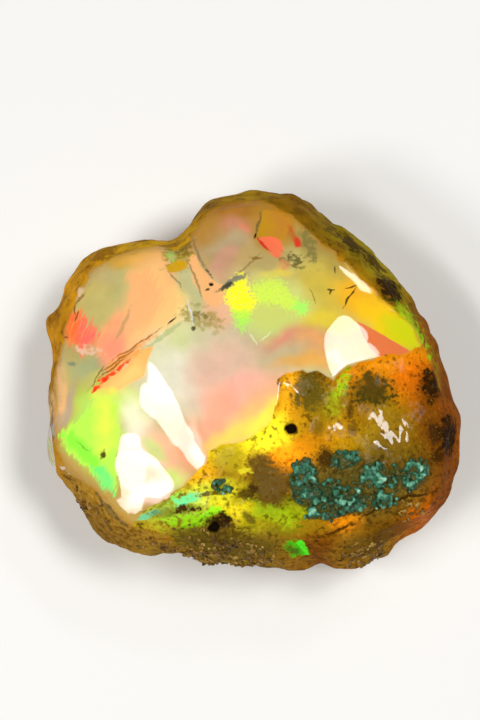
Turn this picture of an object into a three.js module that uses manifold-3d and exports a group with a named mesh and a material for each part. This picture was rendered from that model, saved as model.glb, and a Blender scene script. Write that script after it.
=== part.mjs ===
// A rough opal: one broken nodule of precious opal, lying on its back with its bare glassy face up.
// The face is a low dome that ends in a broken rim. Around and below it is the nodule's natural skin,
// and at the lower right the skin laps over the face and carries a crust of small green lumps.
// Millimetres, +Z up. The origin is the middle of the bounding box, on the plane that the stone rests on.
import * as THREE from "three";
import { mergeVertices } from "three/addons/utils/BufferGeometryUtils.js";
import Module from "manifold-3d";

const { degToRad, radToDeg, smoothstep, clamp } = THREE.MathUtils;
const wasm = await Module();
wasm.setup();

// ---- Driving dimensions ----
const CROWN_HEIGHT = 17.8; // top of the glassy face
const DOME_RADIUS = { x: 42, y: 40 }; // the face's roundness, side to side and front to back
const CROWN_PLACE = { x: 2.2, y: 1.2 }; // where the face is highest
const GIRTH_HEIGHT = 7.4; // mean height at which the stone is widest
const GIRTH_SWAY = 1.3; // how far the widest line climbs on one side and drops on the other
const FOOT_SHARE = 0.42; // size of the flat foot, as a share of the girth
const RIM_SQUARENESS = 1.75; // 1 is a straight bevel from face to girth, 2 a quarter round
const BELLY_SQUARENESS = 1.9; // the same, from girth to foot
const SWELL_ROOM = 0.2; // how far the drawn outlines are pulled in, for the swells to fill again
const SKIN_STEP = 0.3; // how far the skin at the lower right lies under the glassy face
const SKIN_EDGE = 0.35; // half the width of the slope between them
const SKIN_ROUGHNESS = 0.6; // height of the skin's waves there, as a share of those on the side
const GRID = 22; // squares along each side of the grid that the stone is shaped from

// The girth, seen from above: the stone's widest outline, anticlockwise from the right.
const GIRTH = [
  [20.1, -3.9], [19.2, -1.5], [18.5, 1.3], [17.4, 4.6], [16.4, 6.7], [15.3, 8.5], [14.0, 10.3],
  [13.0, 11.3], [11.9, 12.7], [10.1, 13.7], [8.2, 15.2], [6.5, 16.8], [4.6, 17.9], [2.5, 18.2],
  [0.4, 18.0], [-1.7, 17.9], [-3.8, 17.5], [-5.0, 16.5], [-6.0, 15.0], [-7.0, 13.9], [-8.0, 13.6],
  [-9.3, 13.9], [-11.8, 13.5], [-13.7, 13.4], [-15.2, 12.9], [-16.5, 11.5], [-17.4, 9.7],
  [-17.8, 8.2], [-18.5, 7.0], [-19.3, 6.3], [-19.5, 5.0], [-19.2, 2.8], [-19.3, -0.5],
  [-19.4, -2.9], [-19.6, -4.4], [-20.1, -5.9], [-19.9, -7.3], [-17.9, -9.2], [-16.5, -10.6],
  [-15.1, -13.8], [-14.0, -15.3], [-11.9, -16.2], [-9.7, -17.0], [-7.9, -16.8], [-6.4, -16.4],
  [-3.8, -17.2], [-0.6, -17.4], [2.0, -17.7], [3.9, -18.0], [6.6, -17.4], [8.6, -18.2],
  [10.6, -18.5], [12.9, -17.0], [14.4, -15.2], [16.6, -13.6], [19.0, -11.2], [19.8, -6.7],
];

// The rim, where the face turns down into the side of the stone.
const RIM = [
  [18.2, -5.0], [17.7, -1.8], [17.0, 0.8], [16.0, 3.1], [14.7, 4.8], [12.9, 6.3], [11.3, 8.1],
  [9.4, 9.8], [7.4, 11.5], [5.4, 13.2], [3.8, 14.6], [1.2, 15.7], [-0.8, 15.7], [-2.9, 15.1],
  [-4.5, 13.5], [-5.4, 11.9], [-6.5, 11.0], [-8.6, 11.4], [-10.9, 10.9], [-13.4, 9.9],
  [-15.0, 8.1], [-16.2, 6.1], [-17.1, 3.2], [-17.3, 0.9], [-17.3, -1.9], [-17.5, -4.6],
  [-17.3, -6.4], [-16.6, -8.2], [-15.3, -9.3], [-13.8, -10.5], [-12.5, -11.8], [-10.9, -13.5],
  [-9.1, -14.2], [-6.8, -14.9], [-1.2, -15.3], [5.0, -15.1], [8.6, -15.0], [11.1, -14.9],
  [13.9, -14.0], [16.7, -12.7], [18.1, -9.3],
];

// The patch of natural skin that laps over the face at the lower right.
const SKIN_PATCH = [
  [15.3, 2.8], [12.5, 1.2], [9.3, 0.3], [7.9, -0.6], [4.5, 0.0], [3.3, -0.9], [3.2, -3.5],
  [0.3, -6.4], [-2.4, -6.8], [-4.0, -9.5], [-7.1, -11.7], [-10.0, -13.7], [-10.0, -22.0], [24.0, -22.0],
  [24.0, 3.9],
];

// Broad lumps and dents of the nodule's side and underside, each [bearing, angle down, reach, rise], in
// degrees and millimetres. The angle down is RIM_ANGLE at the rim, GIRTH_ANGLE at the girth and
// FOOT_ANGLE where the underside meets the flat foot.
const SWELLS = [
  [205, 111, 26, 0.5], [236, 113, 16, -0.5], [262, 116, 13, 0.3], [288, 112, 9, 0.3],
  [302, 107, 8, -0.35], [318, 120, 16, 0.5], [352, 116, 20, 0.4], [28, 128, 16, -0.7],
  [58, 112, 20, 0.6], [96, 117, 26, 0.7], [117, 105, 11, -0.7], [140, 118, 26, 0.6],
  [172, 120, 20, -0.5], [15, 136, 18, 0.9], [68, 132, 13, 0.7], [95, 137, 18, -0.9],
  [150, 136, 18, 0.8], [188, 131, 13, -0.7], [232, 135, 18, 0.9], [268, 130, 12, -0.6],
  [300, 134, 18, -0.8], [335, 130, 14, 0.7],
];
const RIM_ANGLE = 75;
const GIRTH_ANGLE = 106;
const FOOT_ANGLE = 150;
const RIM_BLEND = 3; // degrees inside the rim over which the swells die out

// Hollow scars where chips have broken off the sides and the underside. Each is the ball that the
// chip's broken surface follows: [x, y, z, radius].
const SCARS = [
  [-27.5, 12.5, -6.0, 16.5], [23.5, 21.5, -3.5, 19.0], [27.0, -14.5, -8.5, 18.0],
  [-15.0, -29.5, -5.0, 18.5], [4.0, 33.0, -9.0, 20.5], [-31.5, -8.5, 10.0, 13.2], [12.5, -32.0, 1.0, 16.2],
];
const MIDDLE_HEIGHT = 8; // height of the stone's middle, which the scars are cut towards
const SCAR_EDGE = 0.9; // how far the broken edge round a scar is worn round

// Hollows and rises of the glassy face, each [x, y, length, width, turn in degrees, rise].
const FACE_FORMS = [
  [-5.5, 8.2, 4.6, 1.3, 112, -0.55], // groove that runs in from the notch between the two lobes
  [-2.4, 11.9, 2.7, 2.4, 60, -0.75], // shell-shaped scoop in the upper lobe
  [2.7, 12.1, 2.6, 1.7, 125, -0.5], // second, shallower scoop beside it
  [0.2, 11.8, 3.0, 0.7, 100, 0.35], // ridge between the two scoops
  [-11.0, 6.0, 5.0, 4.0, 20, 0.35], // swelling of the left lobe
  [-10.5, -0.3, 4.2, 0.9, 40, -0.3], // low step along an old crack
  [-7.7, -7.2, 6.0, 1.3, 128, -0.3], // shallow trough across the lower left of the face
  [10.4, -9.2, 7.6, 3.2, 4, 0.55], // swelling that carries the green crust
  [1.5, -8.9, 2.6, 2.6, 0, 0.25], // grey lump of skin
];

// The green crust: clusters of round lumps, each [x, y, half length, half width, turn in degrees, lumps].
const CRUST_CLUSTERS = [
  [4.7, -10.6, 2.1, 1.2, 95, 10],
  [8.9, -8.4, 1.3, 1.0, 20, 6],
  [11.5, -9.6, 1.2, 1.0, 60, 6],
  [15.4, -9.6, 1.5, 1.0, 100, 7],
  [10.0, -12.2, 3.3, 0.7, 12, 8],
  [-1.5, -10.3, 0.9, 0.5, 150, 3],
];
const LUMP_RADII = [0.78, 0.6, 0.7, 0.52]; // taken in turn along a cluster
const LUMP_SUNK = 0.25; // how deep a lump's middle lies in the stone, as a share of its radius

// Pits in the skin, each [x, y, radius] on the face side.
const PITS = [
  [4.1, -5.3, 0.62], [-3.1, -13.9, 0.75], [-0.6, -13.5, 0.45], [6.9, -7.7, 0.4], [-14.7, -8.5, 0.35],
];
const PIT_SUNK = 0.1;
const BALL_FLATNESS = 0.85; // height of a lump or pit, as a share of its width

// ---- Outline helpers ----
// Radius of a closed outline in each direction from the origin, as a function of the bearing.
function radiusByBearing(points) {
  const curve = new THREE.CatmullRomCurve3(
    points.map(([x, y]) => new THREE.Vector3(x, y, 0)), true, "catmullrom", 0.5,
  );
  const samples = curve.getPoints(points.length * 10)
    .map((p) => [Math.atan2(p.y, p.x), Math.hypot(p.x, p.y)])
    .sort((a, b) => a[0] - b[0]);
  const first = samples[0], last = samples[samples.length - 1];
  samples.unshift([last[0] - 2 * Math.PI, last[1]]);
  samples.push([first[0] + 2 * Math.PI, first[1]]);
  return (bearing) => {
    let i = 1;
    while (samples[i][0] < bearing) i += 1;
    const [b0, r0] = samples[i - 1], [b1, r1] = samples[i];
    return r0 + (r1 - r0) * (bearing - b0) / Math.max(b1 - b0, 1e-9);
  };
}

// Distance from a point to a closed polygon, positive inside it.
function depthInside(polygon, x, y) {
  let nearest = Infinity, inside = false;
  polygon.forEach(([ax, ay], i) => {
    const [bx, by] = polygon[(i + 1) % polygon.length];
    const along = ((x - ax) * (bx - ax) + (y - ay) * (by - ay)) / ((bx - ax) ** 2 + (by - ay) ** 2);
    const t = Math.min(1, Math.max(0, along));
    nearest = Math.min(nearest, Math.hypot(x - ax - t * (bx - ax), y - ay - t * (by - ay)));
    if ((ay > y) !== (by > y) && x < ax + (bx - ax) * (y - ay) / (by - ay)) inside = !inside;
  });
  return inside ? nearest : -nearest;
}

const girthRadius = radiusByBearing(GIRTH);
const rimRadius = radiusByBearing(RIM);

// ---- Heights ----
// Unevenness of the skin: five crossing waves, 3 to 11 mm long.
function skinWaves(x, y, z) {
  return 0.2 * Math.sin(0.58 * x + 0.31 * y - 0.44 * z + 0.6)
    + 0.16 * Math.sin(-0.47 * x + 0.93 * y + 0.39 * z + 2.1)
    + 0.12 * Math.sin(1.21 * x - 0.62 * y + 0.83 * z + 4.0)
    + 0.09 * Math.sin(0.71 * x + 1.63 * y - 1.07 * z + 1.3)
    + 0.07 * Math.sin(-1.93 * x + 0.84 * y + 1.38 * z + 5.2);
}

// Height of the face over (x, y), past the rim as well.
function faceHeight(x, y) {
  const dx = x - CROWN_PLACE.x, dy = y - CROWN_PLACE.y;
  let z = CROWN_HEIGHT - dx * dx / (2 * DOME_RADIUS.x) - dy * dy / (2 * DOME_RADIUS.y);
  for (const [fx, fy, length, width, turn, rise] of FACE_FORMS) {
    const c = Math.cos(degToRad(turn)), s = Math.sin(degToRad(turn));
    const u = (c * (x - fx) + s * (y - fy)) / length, v = (c * (y - fy) - s * (x - fx)) / width;
    z += rise * Math.exp(-u * u - v * v);
  }
  const skin = smoothstep(depthInside(SKIN_PATCH, x, y), -SKIN_EDGE, SKIN_EDGE);
  return z + skin * (skinWaves(x, y, 0) * SKIN_ROUGHNESS - SKIN_STEP);
}

// ---- The nodule ----
function girthHeight(bearing) {
  return GIRTH_HEIGHT + GIRTH_SWAY * (Math.sin(bearing + 0.9) + 0.5 * Math.sin(3 * bearing + 2)) / 1.2;
}

// The direction with this bearing and angle down, in degrees.
function toward(bearing, down) {
  const b = degToRad(bearing), d = degToRad(down);
  return new THREE.Vector3(Math.sin(d) * Math.cos(b), Math.sin(d) * Math.sin(b), Math.cos(d));
}

// The stone's surface in a direction from its middle. Going down from the crown, the direction's angle
// sweeps the face, then the side down to the girth, the underside down to the foot, and the foot itself.
function surfacePoint(direction) {
  const down = radToDeg(Math.acos(clamp(direction.z, -1, 1)));
  const bearing = Math.atan2(direction.y, direction.x);
  const girth = girthRadius(bearing) - SWELL_ROOM, rim = rimRadius(bearing) - SWELL_ROOM;
  const foot = girth * FOOT_SHARE;
  const widest = girthHeight(bearing);
  const at = (radius) => [radius * Math.cos(bearing), radius * Math.sin(bearing)];
  let x, y, z;
  if (down <= RIM_ANGLE) {
    [x, y] = at(rim * Math.sin(degToRad(down / 2)) / Math.sin(degToRad(RIM_ANGLE / 2)));
    z = faceHeight(x, y);
  } else if (down <= GIRTH_ANGLE) {
    const turn = (down - RIM_ANGLE) / (GIRTH_ANGLE - RIM_ANGLE) * Math.PI / 2;
    [x, y] = at(rim + (girth - rim) * Math.sin(turn) ** (2 / RIM_SQUARENESS));
    z = widest + (faceHeight(x, y) - widest) * Math.cos(turn) ** (2 / RIM_SQUARENESS);
  } else if (down <= FOOT_ANGLE) {
    const turn = (down - GIRTH_ANGLE) / (FOOT_ANGLE - GIRTH_ANGLE) * Math.PI / 2;
    [x, y] = at(foot + (girth - foot) * Math.cos(turn) ** (2 / BELLY_SQUARENESS));
    z = widest * (1 - Math.sin(turn) ** (2 / BELLY_SQUARENESS));
  } else {
    [x, y] = at(foot * Math.sin(degToRad((180 - down) / 2)) / Math.sin(degToRad((180 - FOOT_ANGLE) / 2)));
    z = 0;
  }
  // The skin's waves and swells push the side and the underside out and in, and leave face and foot alone.
  const onSide = smoothstep(down, RIM_ANGLE - RIM_BLEND, GIRTH_ANGLE)
    * (1 - smoothstep(down, GIRTH_ANGLE, FOOT_ANGLE) ** 4);
  let push = skinWaves(x, y, z);
  for (const [swellBearing, swellDown, reach, rise] of SWELLS) {
    const angle = radToDeg(toward(swellBearing, swellDown).angleTo(direction));
    push += rise * Math.exp(-((angle / reach) ** 2));
  }
  const outward = new THREE.Vector3(x, y, z - GIRTH_HEIGHT).normalize();
  return scarred(new THREE.Vector3(x, y, z).addScaledVector(outward, push * onSide));
}

// The smaller of two lengths, blended where they are nearly equal.
function softMin(a, b, blend) {
  const overlap = Math.max(0, blend - Math.abs(a - b)) / blend;
  return Math.min(a, b) - overlap * overlap * blend / 4;
}

// Pulls a point that lies in a scar's ball straight towards the stone's middle, onto the ball.
function scarred(point) {
  const middle = new THREE.Vector3(0, 0, MIDDLE_HEIGHT), out = point.clone().sub(middle);
  let reach = out.length();
  out.normalize();
  for (const [x, y, z, radius] of SCARS) {
    const away = new THREE.Vector3(x, y, z).sub(middle), along = away.dot(out);
    const halfChordSquared = radius ** 2 - away.lengthSq() + along ** 2;
    if (halfChordSquared > 0 && along > 0) {
      reach = softMin(reach, along - Math.sqrt(halfChordSquared), SCAR_EDGE);
    }
  }
  return middle.addScaledVector(out, reach);
}

function noduleGeometry() {
  const geometry = new THREE.BoxGeometry(2, 2, 2, GRID, GRID, GRID);
  geometry.deleteAttribute("normal");
  geometry.deleteAttribute("uv");
  const merged = mergeVertices(geometry, 1e-4);
  const place = merged.attributes.position, corner = new THREE.Vector3();
  for (let i = 0; i < place.count; i += 1) {
    corner.fromBufferAttribute(place, i);
    corner.set(...corner.toArray().map((c) => Math.tan(c * Math.PI / 4))).normalize();
    const point = surfacePoint(corner);
    place.setXYZ(i, point.x, point.y, Math.max(0, point.z));
  }
  return merged;
}

// ---- Solids ----
function solidOf(geometry) {
  const plain = geometry.index ? geometry.toNonIndexed() : geometry.clone();
  plain.deleteAttribute("normal");
  plain.deleteAttribute("uv");
  const merged = mergeVertices(plain, 1e-4);
  return new wasm.Manifold(new wasm.Mesh({
    numProp: 3,
    vertProperties: merged.attributes.position.array,
    triVerts: new Uint32Array(merged.index.array),
  }));
}

// A faceted ball, turned and a little flattened, its middle sunk into the face by a share of its radius.
function ball(x, y, radius, sunk, turn) {
  return new THREE.IcosahedronGeometry(radius, 1)
    .rotateZ(turn)
    .rotateX(turn)
    .scale(1, 1, BALL_FLATNESS)
    .translate(x, y, faceHeight(x, y) - sunk * radius);
}

// The lumps of one cluster, set out from its middle on a spiral that keeps them evenly spaced.
function clusterLumps([x, y, halfLength, halfWidth, turn, count]) {
  const tilt = degToRad(turn), golden = Math.PI * (3 - Math.sqrt(5));
  return Array.from({ length: count }, (_, i) => {
    const share = Math.sqrt((i + 0.5) / count);
    const u = halfLength * share * Math.cos(i * golden), v = halfWidth * share * Math.sin(i * golden);
    const lumpX = x + u * Math.cos(tilt) - v * Math.sin(tilt);
    const lumpY = y + u * Math.sin(tilt) + v * Math.cos(tilt);
    return solidOf(ball(lumpX, lumpY, LUMP_RADII[i % LUMP_RADII.length], LUMP_SUNK, i + x));
  });
}

function opalGeometry() {
  let stone = solidOf(noduleGeometry());
  CRUST_CLUSTERS.flatMap(clusterLumps).forEach((lump) => { stone = stone.add(lump); });
  PITS.forEach((pit, i) => { stone = stone.subtract(solidOf(ball(...pit, PIT_SUNK, i))); });
  const { vertProperties, triVerts } = stone.getMesh();
  const geometry = new THREE.BufferGeometry();
  geometry.setAttribute("position", new THREE.BufferAttribute(new Float32Array(vertProperties), 3));
  geometry.setIndex(new THREE.BufferAttribute(new Uint32Array(triVerts), 1));
  geometry.computeBoundingBox();
  const middle = geometry.boundingBox.getCenter(new THREE.Vector3());
  geometry.translate(-middle.x, -middle.y, 0);
  geometry.computeVertexNormals();
  return geometry;
}

const opalFinish = new THREE.MeshStandardMaterial({ color: 0xd2a55f, roughness: 0.15, metalness: 0 });

const roughOpal = new THREE.Group();
const opal = new THREE.Mesh(opalGeometry(), opalFinish);
opal.name = "opal";
roughOpal.add(opal);

export default roughOpal;
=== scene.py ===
import math

import bpy
import numpy as np
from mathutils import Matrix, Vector, noise


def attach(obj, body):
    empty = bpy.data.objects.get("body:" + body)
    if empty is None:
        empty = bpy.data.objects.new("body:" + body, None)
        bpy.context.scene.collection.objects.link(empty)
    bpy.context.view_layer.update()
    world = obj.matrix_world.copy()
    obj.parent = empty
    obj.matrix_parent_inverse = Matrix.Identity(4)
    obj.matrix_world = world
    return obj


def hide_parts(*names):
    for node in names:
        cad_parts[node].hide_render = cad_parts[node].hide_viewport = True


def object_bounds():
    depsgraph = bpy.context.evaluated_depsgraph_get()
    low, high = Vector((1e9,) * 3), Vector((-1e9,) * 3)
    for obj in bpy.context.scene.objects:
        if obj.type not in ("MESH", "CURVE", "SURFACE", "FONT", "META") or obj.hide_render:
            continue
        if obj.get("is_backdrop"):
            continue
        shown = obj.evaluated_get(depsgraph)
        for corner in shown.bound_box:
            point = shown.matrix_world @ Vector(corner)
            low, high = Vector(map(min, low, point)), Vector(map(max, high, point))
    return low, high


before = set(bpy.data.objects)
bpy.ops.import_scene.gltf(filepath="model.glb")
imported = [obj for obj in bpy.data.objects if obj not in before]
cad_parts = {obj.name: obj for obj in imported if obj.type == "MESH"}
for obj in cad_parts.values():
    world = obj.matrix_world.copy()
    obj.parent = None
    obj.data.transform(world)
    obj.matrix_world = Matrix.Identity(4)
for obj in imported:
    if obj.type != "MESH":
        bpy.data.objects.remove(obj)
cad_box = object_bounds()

# ---- The stone ----
# One broken nodule of precious opal. It grew as a lump of gel in a hollow of volcanic rock, so its
# skin is pitted and stained; the bare face is a curved break through the glassy inside.
# Sizes here are in millimetres, as the solid's are, and the mesh is in metres.
MILLIMETRE = 0.001
CROWN_HEIGHT = 17.8  # top of the glassy face
DOME_RADIUS = (42.0, 40.0)  # the face's roundness, side to side and front to back
CROWN_PLACE = (2.2, 1.2)  # where the face is highest
GIRTH_HEIGHT = 7.4  # mean height at which the stone is widest
GIRTH_SWAY = 1.3  # how far the widest line climbs on one side and drops on the other
FOOT_SHARE = 0.42  # size of the flat foot, as a share of the girth
RIM_SQUARENESS = 1.75  # 1 is a straight bevel from face to girth, 2 a quarter round
BELLY_SQUARENESS = 1.9  # the same, from girth to foot
SWELL_ROOM = 0.2  # how far the drawn outlines are pulled in, for the swells to fill again
SKIN_STEP = 0.3  # how far the skin at the lower right lies under the glassy face
SKIN_EDGE = 0.28  # half the width of the slope between them
SKIN_ROUGHNESS = 0.6  # height of the skin's waves there, as a share of those on the side
RIM_ANGLE, GIRTH_ANGLE, FOOT_ANGLE = 75.0, 106.0, 150.0  # degrees down from the crown
RIM_BLEND = 3.0  # degrees inside the rim over which the swells die out
MIDDLE_HEIGHT = 8.0  # height of the stone's middle, which the scars are cut towards
SCAR_EDGE = 0.9  # how far the broken edge round a scar is worn round
SPAN_POINTS = 10  # points worked out on an outline's curve for each point that is drawn
FINE_GRID = 124  # squares along each side of the cube that the surface is spread on
CROWN_SHARE = 0.3  # how strongly those squares are gathered towards the face

# The girth, seen from above: the stone's widest outline, anticlockwise from the right.
GIRTH = [
    (20.1, -3.9), (19.2, -1.5), (18.5, 1.3), (17.4, 4.6), (16.4, 6.7), (15.3, 8.5), (14.0, 10.3),
    (13.0, 11.3), (11.9, 12.7), (10.1, 13.7), (8.2, 15.2), (6.5, 16.8), (4.6, 17.9), (2.5, 18.2),
    (0.4, 18.0), (-1.7, 17.9), (-3.8, 17.5), (-5.0, 16.5), (-6.0, 15.0), (-7.0, 13.9), (-8.0, 13.6),
    (-9.3, 13.9), (-11.8, 13.5), (-13.7, 13.4), (-15.2, 12.9), (-16.5, 11.5), (-17.4, 9.7),
    (-17.8, 8.2), (-18.5, 7.0), (-19.3, 6.3), (-19.5, 5.0), (-19.2, 2.8), (-19.3, -0.5),
    (-19.4, -2.9), (-19.6, -4.4), (-20.1, -5.9), (-19.9, -7.3), (-17.9, -9.2), (-16.5, -10.6),
    (-15.1, -13.8), (-14.0, -15.3), (-11.9, -16.2), (-9.7, -17.0), (-7.9, -16.8), (-6.4, -16.4),
    (-3.8, -17.2), (-0.6, -17.4), (2.0, -17.7), (3.9, -18.0), (6.6, -17.4), (8.6, -18.2),
    (10.6, -18.5), (12.9, -17.0), (14.4, -15.2), (16.6, -13.6), (19.0, -11.2), (19.8, -6.7),
]
# The rim, where the face turns down into the side of the stone.
RIM = [
    (18.2, -5.0), (17.7, -1.8), (17.0, 0.8), (16.0, 3.1), (14.7, 4.8), (12.9, 6.3), (11.3, 8.1),
    (9.4, 9.8), (7.4, 11.5), (5.4, 13.2), (3.8, 14.6), (1.2, 15.7), (-0.8, 15.7), (-2.9, 15.1),
    (-4.5, 13.5), (-5.4, 11.9), (-6.5, 11.0), (-8.6, 11.4), (-10.9, 10.9), (-13.4, 9.9),
    (-15.0, 8.1), (-16.2, 6.1), (-17.1, 3.2), (-17.3, 0.9), (-17.3, -1.9), (-17.5, -4.6),
    (-17.3, -6.4), (-16.6, -8.2), (-15.3, -9.3), (-13.8, -10.5), (-12.5, -11.8), (-10.9, -13.5),
    (-9.1, -14.2), (-6.8, -14.9), (-1.2, -15.3), (5.0, -15.1), (8.6, -15.0), (11.1, -14.9),
    (13.9, -14.0), (16.7, -12.7), (18.1, -9.3),
]
# How far past the rim the bare face, or the skin, runs on before the rind: bearing, distance.
RIND_EDGE = [
    (-180, 1.2), (-165, 0.8), (-150, 0.6), (-138, 0.7), (-116, 0.3), (-104, 3.5), (-15, 3.5), (-5, 0.6),
    (10, 0.2), (30, 0.1), (50, 0.1), (70, 0.3), (85, 0.8), (100, 0.9), (115, 0.7), (125, 1.3), (145, 1.2),
    (158, 0.7), (168, 0.3), (180, 1.2),
]
# The patch of natural skin that laps over the face at the lower right.
SKIN_PATCH = [
    (17.2, 4.0), (15.9, 1.9), (15.0, 1.4), (12.9, 1.0), (10.4, 0.4), (9.2, 0.1), (8.6, -0.4), (7.8, -1.2),
    (6.3, -0.6), (5.6, -0.4), (4.4, -0.4), (3.5, -0.7), (3.0, -1.3), (3.0, -2.7), (2.7, -4.1), (2.2, -5.2),
    (1.3, -5.9), (0.0, -6.7), (-1.1, -6.9), (-2.4, -7.1), (-3.3, -7.8), (-3.7, -8.9), (-4.3, -9.4),
    (-5.2, -10.3), (-6.1, -11.2), (-7.6, -12.1), (-9.0, -13.1), (-10.3, -14.2), (-10.3, -22.0),
    (24.0, -22.0), (24.0, 4.6),
]
# Broad lumps and dents of the side and the underside: bearing, angle down from the crown, reach, rise.
SWELLS = [
    (205, 111, 26, 0.5), (236, 113, 16, -0.5), (262, 116, 13, 0.3), (288, 112, 9, 0.3),
    (302, 107, 8, -0.35), (318, 120, 16, 0.5), (352, 116, 20, 0.4), (28, 128, 16, -0.7),
    (58, 112, 20, 0.6), (96, 117, 26, 0.7), (117, 105, 11, -0.7), (140, 118, 26, 0.6),
    (172, 120, 20, -0.5), (15, 136, 18, 0.9), (68, 132, 13, 0.7), (95, 137, 18, -0.9),
    (150, 136, 18, 0.8), (188, 131, 13, -0.7), (232, 135, 18, 0.9), (268, 130, 12, -0.6),
    (300, 134, 18, -0.8), (335, 130, 14, 0.7),
]
# Hollows where chips have broken off: x, y, z and radius of the ball that each broken surface follows.
SCARS = [
    (-27.5, 12.5, -6.0, 16.5), (23.5, 21.5, -3.5, 19.0), (27.0, -14.5, -8.5, 18.0),
    (-15.0, -29.5, -5.0, 18.5), (4.0, 33.0, -9.0, 20.5), (-31.5, -8.5, 10.0, 13.2),
    (12.5, -32.0, 1.0, 16.2),
]
# Hollows and rises of the glassy face: x, y, length, width, turn, rise.
FACE_FORMS = [
    (-5.5, 8.2, 4.6, 1.3, 112, -0.55),  # groove that runs in from the notch between the two lobes
    (-2.4, 11.9, 2.7, 2.4, 60, -0.75),  # shell-shaped scoop in the upper lobe
    (2.7, 12.1, 2.6, 1.7, 125, -0.5),  # gold facet beside it
    (0.2, 11.8, 3.0, 0.9, 100, 0.2),  # ridge between the two
    (-11.0, 6.0, 5.0, 4.0, 20, 0.35),  # swelling of the left lobe
    (10.4, -9.2, 7.6, 3.2, 4, 0.55),  # swelling that carries the green crust
    (1.5, -8.9, 2.6, 2.6, 0, 0.25),  # grey lump of skin
]
# The lumps of the green crust: x, y, half length, half width, turn and lumps of each cluster.
CRUST_CLUSTERS = [
    (4.7, -10.6, 2.1, 1.2, 95, 10),
    (8.9, -8.4, 1.3, 1.0, 20, 6),
    (11.5, -9.6, 1.2, 1.0, 60, 6),
    (15.4, -9.6, 1.5, 1.0, 100, 7),
    (10.0, -12.2, 3.3, 0.7, 12, 8),
    (-1.5, -10.3, 0.9, 0.5, 150, 3),
]
LUMP_RADII = (0.78, 0.6, 0.7, 0.52)  # taken in turn along a cluster
LUMP_SUNK = 0.25  # how deep a lump's middle lies in the stone, as a share of its radius
PITS = [(3.9, -5.5, 0.6), (-3.1, -14.2, 0.5)]  # x, y and radius of each pit in the skin
PIT_SUNK = 0.1  # how deep a pit's middle lies, as a share of its radius
BALL_FLATNESS = 0.85  # height of a lump or pit, as a share of its width
LOWEST_LUMP = 85.0  # degrees down from the crown, past which there are no lumps and pits

# Colours are placed on the plane of the face, where an eye high above the stone's front sees them. What
# lies lower than the crown is drawn in a little towards the middle, and shifted to the front.
EYE_HEIGHT = 186.0
EYE_LEAN = 0.14  # the shift for each millimetre below the crown
# On the sides that plane is spread by this share for each millimetre that they lie under this height,
# so that no stain runs all the way down.
STAIN_FLARE, FLARE_HEIGHT = 0.06, 11.0

# Where the green crust's grains grow: x, y, half length, half width, turn, how crowded.
CRUST_BEDS = [
    (5.2, -10.6, 1.35, 2.3, 5, 1.0), (8.8, -8.4, 1.3, 0.85, 15, 1.0), (11.3, -9.7, 1.3, 1.1, 0, 1.0),
    (15.0, -9.7, 1.1, 1.5, -25, 1.0), (8.2, -12.9, 3.0, 0.7, 14, 0.8), (12.3, -12.2, 1.2, 0.45, 12, 0.8),
    (7.4, -11.6, 2.4, 1.4, 10, 0.5), (10.5, -11.0, 3.6, 1.3, 0, 0.3),
    (-2.3, -10.8, 1.2, 0.7, 150, 0.38), (13.4, -9.6, 0.9, 0.7, 0, 0.5),
]
# Where water stands on the skin, in the same way.
WET_SPOTS = [(12.7, -5.7, 2.4, 1.8, -30, 1), (7.9, -5.1, 0.8, 0.6, 0, 1), (3.7, -2.2, 1.2, 0.7, -40, 1)]
COVER_EDGE = (0.7, 1.15)  # each bed or spot thins out between these shares of its size
GRITTY_SIDES = ((226, 24), (262, 20), (300, 14))  # bearing and half width of the rough low sides
GRITTY_CORE = 0.6  # each is at its roughest over this share of its half width
# Fine relief: ripples on the face, which is almost smooth, knobs and grains on the skin and the rind,
# and grit on the low sides.
RIPPLE_HEIGHT, RIPPLE_SPACING = 0.012, 3.0
KNOB_HEIGHT, KNOB_SPACING = 0.10, 2.4
GRAIN_HEIGHT, GRAIN_SPACING = 0.035, 0.55
GRIT_HEIGHT, GRIT_SPACING = 0.05, 0.42
HIDDEN = -6.0  # depth given to the underside, far outside the face and the skin patch
UNBROKEN = -0.2  # depth given to what no scar has cut into


def radius_by_bearing(points):
    """Radius of a closed Catmull-Rom outline in each direction from the origin."""
    ring = np.array(points)
    p0, p1, p2, p3 = (np.roll(ring, shift, axis=0)[:, None] for shift in (1, 0, -1, -2))
    t = np.linspace(0, 1, SPAN_POINTS, endpoint=False)[None, :, None]
    curve = 0.5 * (
        2 * p1 + (p2 - p0) * t + (2 * p0 - 5 * p1 + 4 * p2 - p3) * t**2 + (3 * p1 - p0 - 3 * p2 + p3) * t**3
    )
    x, y = curve.reshape(-1, 2).T
    bearing, radius = np.arctan2(y, x), np.hypot(x, y)
    order = np.argsort(bearing)
    return lambda wanted: np.interp(wanted, bearing[order], radius[order], period=2 * math.pi)


def depth_inside(polygon, x, y):
    """Distance to a closed polygon's edge, positive inside it."""
    nearest, inside = np.full(x.shape, np.inf), np.zeros(x.shape, bool)
    for (ax, ay), (bx, by) in zip(polygon, polygon[1:] + polygon[:1]):
        along = ((x - ax) * (bx - ax) + (y - ay) * (by - ay)) / ((bx - ax) ** 2 + (by - ay) ** 2)
        t = np.clip(along, 0, 1)
        nearest = np.minimum(nearest, np.hypot(x - ax - t * (bx - ax), y - ay - t * (by - ay)))
        if ay != by:
            inside ^= ((ay > y) != (by > y)) & (x < ax + (bx - ax) * (y - ay) / (by - ay))
    return np.where(inside, nearest, -nearest)


def smoothstep(value, low, high):
    """Rises smoothly from 0 to 1 as a value goes from low to high."""
    t = np.clip((value - low) / (high - low), 0, 1)
    return t * t * (3 - 2 * t)


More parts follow.
